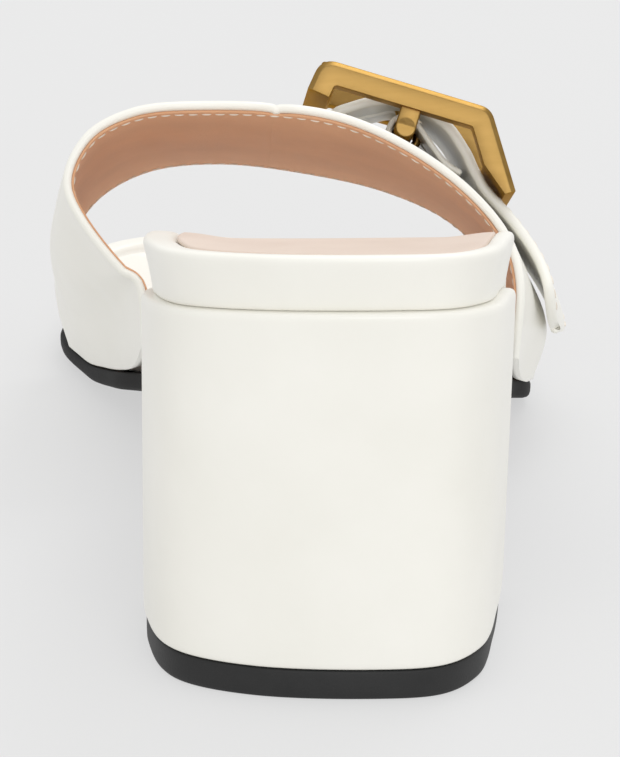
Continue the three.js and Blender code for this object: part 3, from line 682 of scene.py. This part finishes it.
def band_grid(u, edge, depth, columns, creased):
    """Middle surface of a layer of the upper, its edges set in, at a depth below its face."""
    notch = NOTCH_DEPTH * np.exp(-(((u - SEAM_U) / NOTCH_WIDTH) ** 2))
    low, high = edge_v(u, edge + notch, False), edge_v(u, edge, True)
    v = low[:, None] + (high - low)[:, None] * columns[None, :]
    uu = np.broadcast_to(u[:, None], v.shape)
    lift = -depth + (crease_lift(uu, v) if creased else 0)
    return on_upper(uu, v, np.broadcast_to(lift, v.shape))


BAND_LEATHER = 1.5
BAND_LINING = 0.5
LINING_INSET = 1.35
LINING_END = 0.03
LAYER_OVERLAP = 0.02


def make_upper():
    u = np.linspace(0.0, UPPER_LAST, 420)
    u = np.sort(np.concatenate([u, SEAM_U + np.linspace(-0.13, 0.13, 32)]))
    columns = eased_stations(0, 1, 64, 0.35)
    grid = band_grid(u, BAND_LEATHER / 2, BAND_LEATHER / 2, columns, True)
    return strip("band_leather", grid, BAND_LEATHER, rounded_ends=(False, False), arc=7)


def make_lining():
    """The lining, in two pieces that meet at the seam."""
    columns = eased_stations(0, 1, 40, 0.35)
    depth = BAND_LEATHER + BAND_LINING / 2 - LAYER_OVERLAP
    parts = []
    for name, start, end, ends in (
            ("inner_lining", LINING_END, LINING_SEAM_U, (False, True)),
            ("outer_lining", LINING_SEAM_U, UPPER_LAST - LINING_END, (True, False))):
        grid = band_grid(np.linspace(start, end, 170), LINING_INSET, depth, columns, False)
        parts.append(strip(name, grid, BAND_LINING, rounded_ends=ends, arc=3))
    return joined("band_lining", parts)


# ---- Strap, loop and buckle ----------------------------------------------------------

strap_v, strap_half, strap_near, strap_far = (reader(STRAP, k) for k in (1, 2, 3, 4))


def strap_edge(u):
    """Half of the strap's width in v, rounded off towards the tip."""
    t = np.clip((u - (STRAP_TIP - STRAP_TIP_RUN)) / STRAP_TIP_RUN, 0, 0.9995)
    return strap_half(u) * np.sqrt(1 - t**STRAP_TIP_POWER)


def strap_surface(u, share, extra):
    """Points over the strap's underside: share -1..1 across it, extra above it."""
    v = strap_v(u) + strap_edge(u) * share
    lift = lerp(strap_near(u), strap_far(u), (share + 1) / 2)
    return on_upper(u, v, lift + extra)


# The strap's slot for the prong: where it starts and ends along the strap.
SLOT_U = (7.28, 7.85)


def upper_frame():
    """The upper's face under the buckle: a point, and the ways along, forward and out."""
    step = 0.02
    exact = lambda u, v: curve_at(upper_section(v), u)[0]
    along = unit(exact(BUCKLE_U + step, BUCKLE_V) - exact(BUCKLE_U - step, BUCKLE_V))
    forward = unit(exact(BUCKLE_U, BUCKLE_V + step) - exact(BUCKLE_U, BUCKLE_V - step))
    return exact(BUCKLE_U, BUCKLE_V), along, forward, unit(np.cross(along, forward))


seat_point, _seat_along, _seat_forward, _seat_out = upper_frame()
buckle_along = _seat_along * math.cos(BUCKLE_TILT) + _seat_out * math.sin(BUCKLE_TILT)
_forward = _seat_forward + _seat_out * BUCKLE_TWIST
buckle_forward = unit(_forward - buckle_along * np.dot(_forward, buckle_along))
buckle_up = unit(np.cross(buckle_along, buckle_forward))
buckle_origin = seat_point + _seat_out * BUCKLE_LIFT
BUCKLE_AXES = np.array([buckle_along, buckle_forward, buckle_up])


def buckle_local(abh):
    """World points from the buckle's own axes: along, forward, up."""
    return buckle_origin + np.asarray(abh, float) @ BUCKLE_AXES


_bar = BUCKLE_AXES @ (seat_point + _seat_out * CENTRE_BAR_STANDOFF - buckle_origin)
BAR_A, BAR_H = _bar[0], _bar[2]


def make_strap():
    u = np.concatenate([
        np.linspace(STRAP[0][0] + 0.03, STRAP_TIP - 0.3, 230),
        STRAP_TIP - 0.3 * np.cos(np.linspace(0, math.pi / 2, 26))[1:]])
    share = eased_stations(-1, 1, 30, 0.3)
    grid = strap_surface(u[:, None], share[None, :] * EDGE_SHARE, STRAP_THICKNESS / 2)
    start, end = strap_surface(np.array(SLOT_U), np.zeros(2), 0)
    return cut_slot(strip("strap_leather", grid, STRAP_THICKNESS), start, end, 1.7, 8)


def capsule_prism(start, end, radius, up, height):
    """An upright prism with rounded ends between two points."""
    way = unit(end - start)
    side = unit(np.cross(up, way))
    turn = np.linspace(-math.pi / 2, math.pi / 2, 12)
    ring = [end + radius * (math.cos(t) * way + math.sin(t) * side) for t in turn]
    ring += [start - radius * (math.cos(t) * way + math.sin(t) * side) for t in turn]
    ring = np.array(ring)
    verts = np.vstack([ring - up * height, ring + up * height])
    n = len(ring)
    faces = [tuple(range(n))[::-1], tuple(range(n, 2 * n))]
    faces += [(j, (j + 1) % n, n + (j + 1) % n, n + j) for j in range(n)]
    return new_object("slot_cutter", verts, faces, smooth=False)


def cut_slot(obj, start, end, radius, height):
    """Cuts a slot with rounded ends through a piece, for the prong."""
    cutter = capsule_prism(start, end, radius, buckle_up, height)
    cut = obj.modifiers.new("slot", "BOOLEAN")
    cut.operation, cut.solver, cut.object = "DIFFERENCE", "EXACT", cutter
    bake_modifiers(obj)
    bpy.data.objects.remove(cutter)
    sharpen(obj)
    return obj


LOOP_THICKNESS = 1.0
LOOP_HALF_V = 0.165
LOOP_HALF_WIDTH = 10.0
BAR_CLEARANCE = 0.25


def make_loop():
    """Tab folded round the centre bar: lower ply, fold, upper ply."""
    share = np.linspace(-1, 1, 25)
    v = BUCKLE_V + LOOP_HALF_V * share
    low = LAY_GAP + LOOP_THICKNESS / 2
    high = low + LOOP_THICKNESS + GAP

    def ply(u, lift):
        return on_upper(np.full_like(v, u), v, np.full_like(v, lift))

    rows = [ply(u, low) for u in (8.6, 8.45, 8.3)]
    radius = CENTRE_BAR_RADIUS + BAR_CLEARANCE + LOOP_THICKNESS / 2
    for turn in np.linspace(-0.5, -1.65, 13) * math.pi:
        rows.append(buckle_local(np.column_stack([
            np.full_like(share, BAR_A + radius * math.cos(turn)), LOOP_HALF_WIDTH * share,
            np.full_like(share, BAR_H + radius * math.sin(turn))])))
    rows = np.array(rows + [ply(u, high) for u in (8.4, 8.6)])
    dense = np.linspace(0, len(rows) - 1, 90)
    grid = np.array([curve_at(rows[:, j], dense) for j in range(len(share))]).transpose(1, 0, 2)
    start = buckle_local([BAR_A - 5, 0, BAR_H])
    end = buckle_local([BAR_A + 3.4, 0, BAR_H + 1.5])
    return cut_slot(strip("loop_leather", grid, LOOP_THICKNESS, arc=4), start, end, 1.9, 3)


def rounded_path(corners, radius, steps):
    """The side view with its bends rounded: points and leftward normals."""
    points = []
    for i, corner in enumerate(corners):
        here = np.array(corner, float)
        if i in (0, len(corners) - 1):
            points.append(here)
            continue
        back = unit(np.array(corners[i - 1], float) - here)
        on = unit(np.array(corners[i + 1], float) - here)
        cut = radius / math.tan(math.acos(np.clip(back @ on, -1, 1)) / 2)
        a, b = here + back * cut, here + on * cut
        for t in np.linspace(0, 1, steps + 1):
            points.append((1 - t) ** 2 * a + 2 * t * (1 - t) * here + t**2 * b)
    points = np.array(points)
    way = unit(np.vstack([points[1:], points[-1:]]) - np.vstack([points[:1], points[:-1]]))
    return points, np.column_stack([-way[:, 1], way[:, 0]])


def plate_faces(rows, columns, is_open):
    """Faces of a two-sided grid plate with cut-out cells."""
    total = (rows + 1) * (columns + 1)
    at = lambda i, j, low: i * (columns + 1) + j + (total if low else 0)
    filled = lambda i, j: 0 <= i < rows and 0 <= j < columns and not is_open(i, j)
    faces = []
    for i in range(rows):
        for j in range(columns):
            if not filled(i, j):
                continue
            faces.append((at(i, j, 0), at(i, j + 1, 0), at(i + 1, j + 1, 0), at(i + 1, j, 0)))
            faces.append((at(i, j, 1), at(i + 1, j, 1), at(i + 1, j + 1, 1), at(i, j + 1, 1)))
            edges = (
                ((i, j - 1), (i, j), (i + 1, j)), ((i, j + 1), (i + 1, j + 1), (i, j + 1)),
                ((i - 1, j), (i, j + 1), (i, j)), ((i + 1, j), (i + 1, j), (i + 1, j + 1)))
            for (ni, nj), p, q in edges:
                if not filled(ni, nj):
                    faces.append((at(*p, 0), at(*q, 0), at(*q, 1), at(*p, 1)))
    return faces


def inner_corners(corners, depth):
    """The side view's corners moved in by a depth, square to both legs."""
    at = np.array(corners, float)
    way = unit(np.diff(at, axis=0))
    normal = np.column_stack([-way[:, 1], way[:, 0]])
    before, after = np.vstack([normal[:1], normal]), np.vstack([normal, normal[-1:]])
    share = depth / (1 + (before * after).sum(axis=1, keepdims=True))
    return at - (before + after) * share


BEND_STEPS = 10
FRAME_CHAMFER = 0.8
FRAME_BEVEL = 0.38
# The first row of the frame's plate that the window cuts; it ends one row from the outer end.
WINDOW_START = 6


def make_frame_ring():
    """The buckle's bent plate with its window, its long edges chamfered on top."""
    points, normals = rounded_path(BUCKLE_SIDE, BUCKLE_CORNER, BEND_STEPS)
    under, _ = rounded_path(
        inner_corners(BUCKLE_SIDE, BAR_THICKNESS), BUCKLE_INNER_CORNER, BEND_STEPS)
    leg = np.linalg.norm(points[-1] - points[-2])
    share = 1 - BAR_WIDTH / leg
    points = np.insert(points, -1, lerp(points[-2], points[-1], share), axis=0)
    normals = np.insert(normals, -1, normals[-1], axis=0)
    under = np.insert(under, -1, points[-2] - normals[-1] * BAR_THICKNESS, axis=0)
    under[-1] = points[-1] - normals[-1] * FOOT_THICKNESS
    rows = len(points) - 1
    half = BUCKLE_DEPTH / 2
    b = [-half, -half + FRAME_CHAMFER, -half + BAR_WIDTH, 0, half - BAR_WIDTH,
         half - FRAME_CHAMFER, half]
    top, bottom = [], []
    for p, n, q in zip(points, normals, under):
        for j, bj in enumerate(b):
            a, h = p - n * (FRAME_CHAMFER if j in (0, len(b) - 1) else 0)
            top.append((a, bj, h))
            bottom.append((q[0], bj, q[1]))
    faces = plate_faces(
        rows, len(b) - 1, lambda i, j: WINDOW_START <= i < rows - 1 and j in (2, 3))
    return new_object("buckle_ring", buckle_local(np.array(top + bottom)), faces)


def tube(name, start, end, radius):
    """A round bar with slightly rounded end faces."""
    way = unit(end - start)
    x = unit(np.cross(way, [0.3, 0.2, 1.0]))
    y = np.cross(way, x)
    turn = np.linspace(0, 2 * math.pi, 40, endpoint=False)
    circle = np.cos(turn)[:, None] * x + np.sin(turn)[:, None] * y
    length = np.linalg.norm(end - start)
    cap = [(0, 0.02), (0, 0.5), (0, 0.84), (0, 0.88), (0.05, 0.94), (0.14, 0.98), (0.3, 1)]
    steps = cap + [(length - s, r) for s, r in cap[::-1]]
    return lofted(name, [start + way * s + circle * radius * r for s, r in steps])


def joined(name, parts):
    """One object from several, in one mesh."""
    bm = bmesh.new()
    for part in parts:
        bm.from_mesh(part.data)
    mesh = bpy.data.meshes.new(name)
    bm.to_mesh(mesh)
    bm.free()
    for part in parts:
        old = part.data
        bpy.data.objects.remove(part)
        bpy.data.meshes.remove(old)
    return placed(name, mesh)


def bevelled(obj, width):
    """Rounds a piece's sharp edges."""
    mod = obj.modifiers.new("bevel", "BEVEL")
    mod.width, mod.segments = width * MM, 3
    mod.limit_method, mod.angle_limit = "ANGLE", BEVEL_ANGLE
    mod.harden_normals = False
    bake_modifiers(obj)
    sharpen(obj)
    return obj


POST_HALF = 1.5
POST_BEVEL = 0.3
BOX_FACES = [(3, 2, 1, 0), (4, 5, 6, 7), (0, 1, 5, 4), (1, 2, 6, 5), (2, 3, 7, 6), (3, 0, 4, 7)]


def make_buckle_frame():
    """The frame, its centre bar and the two posts that carry the bar, in one mesh."""
    reach = (BUCKLE_DEPTH - BAR_WIDTH) / 2
    start, end = (
        buckle_local([BAR_A, side * (reach + POST_HALF), BAR_H]) for side in (-1, 1))
    parts = [bevelled(make_frame_ring(), FRAME_BEVEL), tube("bar", start, end, CENTRE_BAR_RADIUS)]
    for side in (-1, 1):
        corners = [
            (BAR_A + a * CENTRE_BAR_RADIUS, side * reach + b * POST_HALF, h)
            for h in (BAR_H, -POST_HALF) for a, b in ((-1, -1), (1, -1), (1, 1), (-1, 1))]
        post = new_object("post", buckle_local(np.array(corners)), BOX_FACES)
        parts.append(bevelled(post, POST_BEVEL))
    return joined("buckle_metal", parts)


PRONG_THICKNESS = (1.5, 1.2)
PRONG_HALF_WIDTH = (1.5, 1.1)
# The blade's middle line past the curl: along the buckle, and up from the frame's top.
PRONG_BLADE = [(-4.6, -0.5), (-9.0, 1.0), (-13.6, 1.15), (-17.2, 0.95)]


def make_prong():
    """Flat prong: a curl round the centre bar and a blade to the inner bar."""
    radius = CENTRE_BAR_RADIUS + BAR_CLEARANCE + PRONG_THICKNESS[0] / 2
    path = [(BAR_A + radius * math.cos(t), BAR_H + radius * math.sin(t))
            for t in np.linspace(-0.15, 0.55, 7) * math.pi] + PRONG_BLADE
    centre = curve_at(path, np.linspace(0, len(path) - 1, 90))
    t = np.linspace(0, 1, len(centre))
    half = lerp(*PRONG_HALF_WIDTH, smoothstep(t, 0.45, 1))
    half = half * np.sqrt(1 - smoothstep(t, 0.93, 1.02) * 0.8)
    share = np.linspace(-1, 1, 9)
    grid = np.array([
        buckle_local(np.column_stack(
            [np.full_like(share, a), share * (w - 0.5), np.full_like(share, h)]))
        for (a, h), w in zip(centre, half)])
    return strip("prong_metal", grid, lerp(*PRONG_THICKNESS, t), arc=6)


# ---- Stitches ------------------------------------------------------------------------

def wire(source, out, target, into):
    """Links an output of one node to an input of another in the same tree."""
    source.id_data.links.new(source.outputs[out], target.inputs[into])


def stitch_tree():
    """Geometry Nodes: thread stitches at equal steps along the edges of a mesh."""
    tree = bpy.data.node_groups.new("stitches", "GeometryNodeTree")
    face = tree.interface
    face.new_socket("Geometry", in_out="INPUT", socket_type="NodeSocketGeometry")
    for name, value in (("Pitch", 0.0026), ("Length", 0.0019), ("Radius", 0.0003)):
        socket = face.new_socket(name, in_out="INPUT", socket_type="NodeSocketFloat")
        socket.default_value = value
    face.new_socket("Material", in_out="INPUT", socket_type="NodeSocketMaterial")
    face.new_socket("Geometry", in_out="OUTPUT", socket_type="NodeSocketGeometry")
    add = tree.nodes.new
    given, result = add("NodeGroupInput"), add("NodeGroupOutput")
    to_curve, resample = add("GeometryNodeMeshToCurve"), add("GeometryNodeResampleCurve")
    resample.mode = "LENGTH"
    tangent, align = add("GeometryNodeInputTangent"), add("FunctionNodeAlignRotationToVector")
    align.axis = "X"
    ball = add("GeometryNodeMeshUVSphere")
    ball.inputs["Segments"].default_value = 10
    ball.inputs["Rings"].default_value = 7
    ball.inputs["Radius"].default_value = 1.0
    size, half = add("ShaderNodeCombineXYZ"), add("ShaderNodeMath")
    half.operation = "MULTIPLY"
    half.inputs[1].default_value = 0.5
    scatter = add("GeometryNodeInstanceOnPoints")
    realize, paint = add("GeometryNodeRealizeInstances"), add("GeometryNodeSetMaterial")
    smooth = add("GeometryNodeSetShadeSmooth")
    wire(given, "Geometry", to_curve, "Mesh")
    wire(to_curve, "Curve", resample, "Curve")
    wire(given, "Pitch", resample, "Length")
    wire(resample, "Curve", scatter, "Points")
    wire(ball, "Mesh", scatter, "Instance")
    wire(tangent, "Tangent", align, "Vector")
    wire(align, "Rotation", scatter, "Rotation")
    wire(given, "Length", half, 0)
    wire(half, 0, size, "X")
    wire(given, "Radius", size, "Y")
    wire(given, "Radius", size, "Z")
    wire(size, "Vector", scatter, "Scale")
    wire(scatter, "Instances", realize, "Geometry")
    wire(realize, "Geometry", smooth, "Geometry")
    wire(smooth, "Geometry", paint, "Geometry")
    wire(given, "Material", paint, "Material")
    wire(paint, "Geometry", result, "Geometry")
    return tree


STITCHES = stitch_tree()


def stitched(name, runs, material, sizes):
    """Stitches along each run of points, as one plain mesh."""
    verts, edges = [], []
    for run in runs:
        first = len(verts)
        verts += (np.asarray(run) * MM).tolist()
        edges += [(first + k, first + k + 1) for k in range(len(run) - 1)]
    mesh = bpy.data.meshes.new(name)
    mesh.from_pydata(verts, edges, [])
    obj = placed(name, mesh)
    mod = obj.modifiers.new("stitches", "NODES")
    mod.node_group = STITCHES
    for item in STITCHES.interface.items_tree:
        if item.in_out != "INPUT" or item.name == "Geometry":
            continue
        value = material if item.name == "Material" else sizes.get(item.name)
        if value is not None:
            mod[item.identifier] = value
    return bake_modifiers(obj)


# ---- Materials -----------------------------------------------------------------------

def linear(r, g, b):
    """Linear colour from 0-255 display values."""
    out = []
    for c in (r, g, b):
        c /= 255
        out.append(c / 12.92 if c <= 0.04045 else ((c + 0.055) / 1.055) ** 2.4)
    return (*out, 1.0)


def new_material(name, **values):
    """A material and its shader, with the shader's constant values set."""
    mat = bpy.data.materials.new(name)
    mat.use_nodes = True
    shader = mat.node_tree.nodes["Principled BSDF"]
    for socket, value in {"IOR": 1.45, **values}.items():
        shader.inputs[socket].default_value = value
    return mat, shader


# How much finer the bump's noise is than the colour's, the leather grain's share of the
# bump, and the bump's depth in metres.
FINER = 22
GRAIN_SHARE = 0.8
BUMP_DEPTH = 0.0001


def textured(name, dark, light, scale, detail, bump, rough, cells=0, stretch=(1, 1, 1), **values):
    """A material with its colour, roughness and bump from noise in object coordinates."""
    mat, shader = new_material(name, **values)
    nodes = mat.node_tree.nodes
    where, place = nodes.new("ShaderNodeTexCoord"), nodes.new("ShaderNodeMapping")
    place.inputs["Scale"].default_value = stretch
    wire(where, "Object", place, "Vector")
    broad = nodes.new("ShaderNodeTexNoise")
    broad.inputs["Scale"].default_value = scale
    broad.inputs["Detail"].default_value = detail
    wire(place, "Vector", broad, "Vector")
    ramp = nodes.new("ShaderNodeValToRGB")
    for stop, colour, position in zip(ramp.color_ramp.elements, (dark, light), (0.3, 0.7)):
        stop.color, stop.position = linear(*colour), position
    wire(broad, "Fac", ramp, "Fac")
    wire(ramp, "Color", shader, "Base Color")
    fine = nodes.new("ShaderNodeTexNoise")
    fine.inputs["Scale"].default_value = scale * FINER
    fine.inputs["Detail"].default_value = 3
    wire(place, "Vector", fine, "Vector")
    height = (fine, "Fac")
    if cells:
        grain = nodes.new("ShaderNodeTexVoronoi")
        grain.feature = "SMOOTH_F1"
        grain.inputs["Scale"].default_value = cells
        wire(place, "Vector", grain, "Vector")
        mix = nodes.new("ShaderNodeMath")
        mix.operation = "MULTIPLY_ADD"
        mix.inputs[1].default_value = GRAIN_SHARE
        wire(grain, "Distance", mix, 0)
        wire(fine, "Fac", mix, 2)
        height = (mix, 0)
    rise = nodes.new("ShaderNodeBump")
    rise.inputs["Strength"].default_value = bump
    rise.inputs["Distance"].default_value = BUMP_DEPTH
    wire(*height, rise, "Height")
    wire(rise, "Normal", shader, "Normal")
    if isinstance(rough, tuple):
        spread = nodes.new("ShaderNodeMapRange")
        spread.inputs["To Min"].default_value, spread.inputs["To Max"].default_value = rough
        wire(broad, "Fac", spread, "Value")
        wire(spread, "Result", shader, "Roughness")
    else:
        shader.inputs["Roughness"].default_value = rough
    return mat


# Each slot's surface: darker and lighter display colour, size and detail of the noise, bump,
# roughness from and to, and what else its shader says.
SURFACES = {
    "white_leather": dict(
        dark=(241, 239, 230), light=(246, 244, 236), scale=38, detail=4, bump=0.1,
        rough=(0.3, 0.38), cells=1500, **{"Coat Weight": 0.12, "Coat Roughness": 0.3}),
    "tan_lining": dict(
        dark=(214, 162, 124), light=(228, 177, 138), scale=60, detail=5, bump=0.35,
        rough=(0.55, 0.68), cells=2600),
    "blush_sock": dict(
        dark=(219, 199, 184), light=(227, 209, 195), scale=60, detail=5, bump=0.25,
        rough=(0.45, 0.58), cells=2600),
    "black_sole": dict(
        dark=(14, 13, 12), light=(22, 21, 20), scale=90, detail=6, bump=0.4,
        rough=(0.55, 0.7), **{"Specular IOR Level": 0.2}),
    "black_top_lift": dict(
        dark=(28, 28, 28), light=(38, 38, 38), scale=120, detail=6, bump=0.45,
        rough=(0.52, 0.68)),
    "gold_metal": dict(
        dark=(146, 116, 65), light=(162, 130, 76), scale=90, detail=3, bump=0.12,
        rough=(0.3, 0.42), stretch=(1, 6, 6),
        **{"Metallic": 1.0, "Specular Tint": linear(214, 176, 104)}),
    "white_thread": dict(
        dark=(226, 216, 203), light=(238, 231, 220), scale=200, detail=3, bump=0.5, rough=0.7),
}
MATERIALS = {slot: textured(slot, **surface) for slot, surface in SURFACES.items()}


def finished(obj, slot, nodes=()):
    """Gives a piece its material, attaches it under the root body and hides the CAD parts it
    stands in for.
    """
    obj.data.materials.clear()
    obj.data.materials.append(MATERIALS[slot])
    if nodes:
        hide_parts(*nodes)
    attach(obj, "root")
    return obj


finished(make_outsole(), "black_sole", ["outsole"])
finished(make_top_lift(), "black_top_lift", ["heel_top_lift"])
finished(make_heel_block(), "white_leather", ["heel_block"])
finished(make_footbed(), "white_leather", ["footbed"])
finished(make_sock(), "blush_sock", ["sock"])
finished(make_upper(), "white_leather", ["upper"])
finished(make_lining(), "tan_lining")
finished(make_strap(), "white_leather", ["buckle_strap"])
finished(make_loop(), "white_leather", ["buckle_loop"])
finished(make_buckle_frame(), "gold_metal", ["buckle_frame"])
finished(make_prong(), "gold_metal", ["buckle_prong"])

# Rows of stitches: along both edges of the lining, and along both edges of the strap.
lining_u = np.linspace(1.1, UPPER_LAST - 1.1, 400)
lining_face = np.full_like(lining_u, -(BAND_LEATHER + BAND_LINING + LAYER_OVERLAP))
lining_runs = [
    on_upper(lining_u, edge_v(lining_u, from_edge, front), lining_face)
    for from_edge, front in ((2.5, False), (2.9, True))
]
strap_u = np.linspace(STRAP[0][0] + 0.12, STRAP_TIP - 0.16, 300)
strap_runs = [
    strap_surface(strap_u, np.full_like(strap_u, share), STRAP_THICKNESS + LAYER_OVERLAP)
    for share in (-STITCH_SHARE, STITCH_SHARE)
]
for name, runs, sizes in (
        ("lining_stitches", lining_runs, {"Radius": 0.00019, "Length": 0.0017, "Pitch": 0.0023}),
        ("strap_stitches", strap_runs, {"Radius": 0.00022, "Length": 0.0017, "Pitch": 0.0024})):
    finished(stitched(name, runs, MATERIALS["white_thread"], sizes), "white_thread")

# ---- Floor, light and camera ---------------------------------------------------------

FLOOR_HALF = 6000
floor_corners = [
    (x * FLOOR_HALF, y * FLOOR_HALF, 0) for x, y in ((-1, -1), (1, -1), (1, 1), (-1, 1))]
floor = new_object("floor", floor_corners, [(0, 1, 2, 3)], smooth=False)
if floor.data.polygons[0].normal.z < 0:
    floor.data.flip_normals()
floor_material, _ = new_material("studio_floor", **{
    "Roughness": 0.95, "Base Color": linear(120, 120, 120),
    "Emission Color": (1, 1, 1, 1), "Emission Strength": 0.575})
floor.data.materials.append(floor_material)


def aimed(name, data, place, target):
    """A light or camera at a place, looking at a target."""
    obj = placed(name, data)
    obj.location = place
    obj.rotation_mode = "QUATERNION"
    obj.rotation_quaternion = (Vector(target) - Vector(place)).to_track_quat("-Z", "Y")
    return obj


def area_light(name, place, target, size, power, colour=(1, 1, 1)):
    data = bpy.data.lights.new(name, "AREA")
    data.shape, data.size, data.energy, data.color = "DISK", size, power, colour
    aimed(name, data, place, target)


area_light("overhead", (0.12, 0.1, 1.7), (0, 0.05, 0), 1.8, 7)
area_light("camera_side", (0.25, -1.9, 0.8), (0, 0.05, 0.03), 1.3, 10, (0.95, 0.97, 1))
area_light("far_side", (0.6, 1.05, 1.65), (0.02, 0.15, 0.07), 0.8, 7)

world = bpy.data.worlds.new("studio")
world.use_nodes = True
background = world.node_tree.nodes["Background"]
background.inputs["Color"].default_value = (1, 1, 1, 1)
background.inputs["Strength"].default_value = 0.78
bpy.context.scene.world = world

CAMERA_PLACE = (-0.048, -1.3411, 0.4784)
CAMERA_AIM = (-0.0026, 0.0, 0.0467)
camera_data = bpy.data.cameras.new("camera")
camera_data.sensor_width = 36
camera_data.sensor_fit = "HORIZONTAL"
camera_data.lens = 507
camera_data.clip_start, camera_data.clip_end = 0.05, 20
bpy.context.scene.camera = aimed("camera", camera_data, CAMERA_PLACE, CAMERA_AIM)
bpy.context.scene.view_settings.view_transform = "Standard"
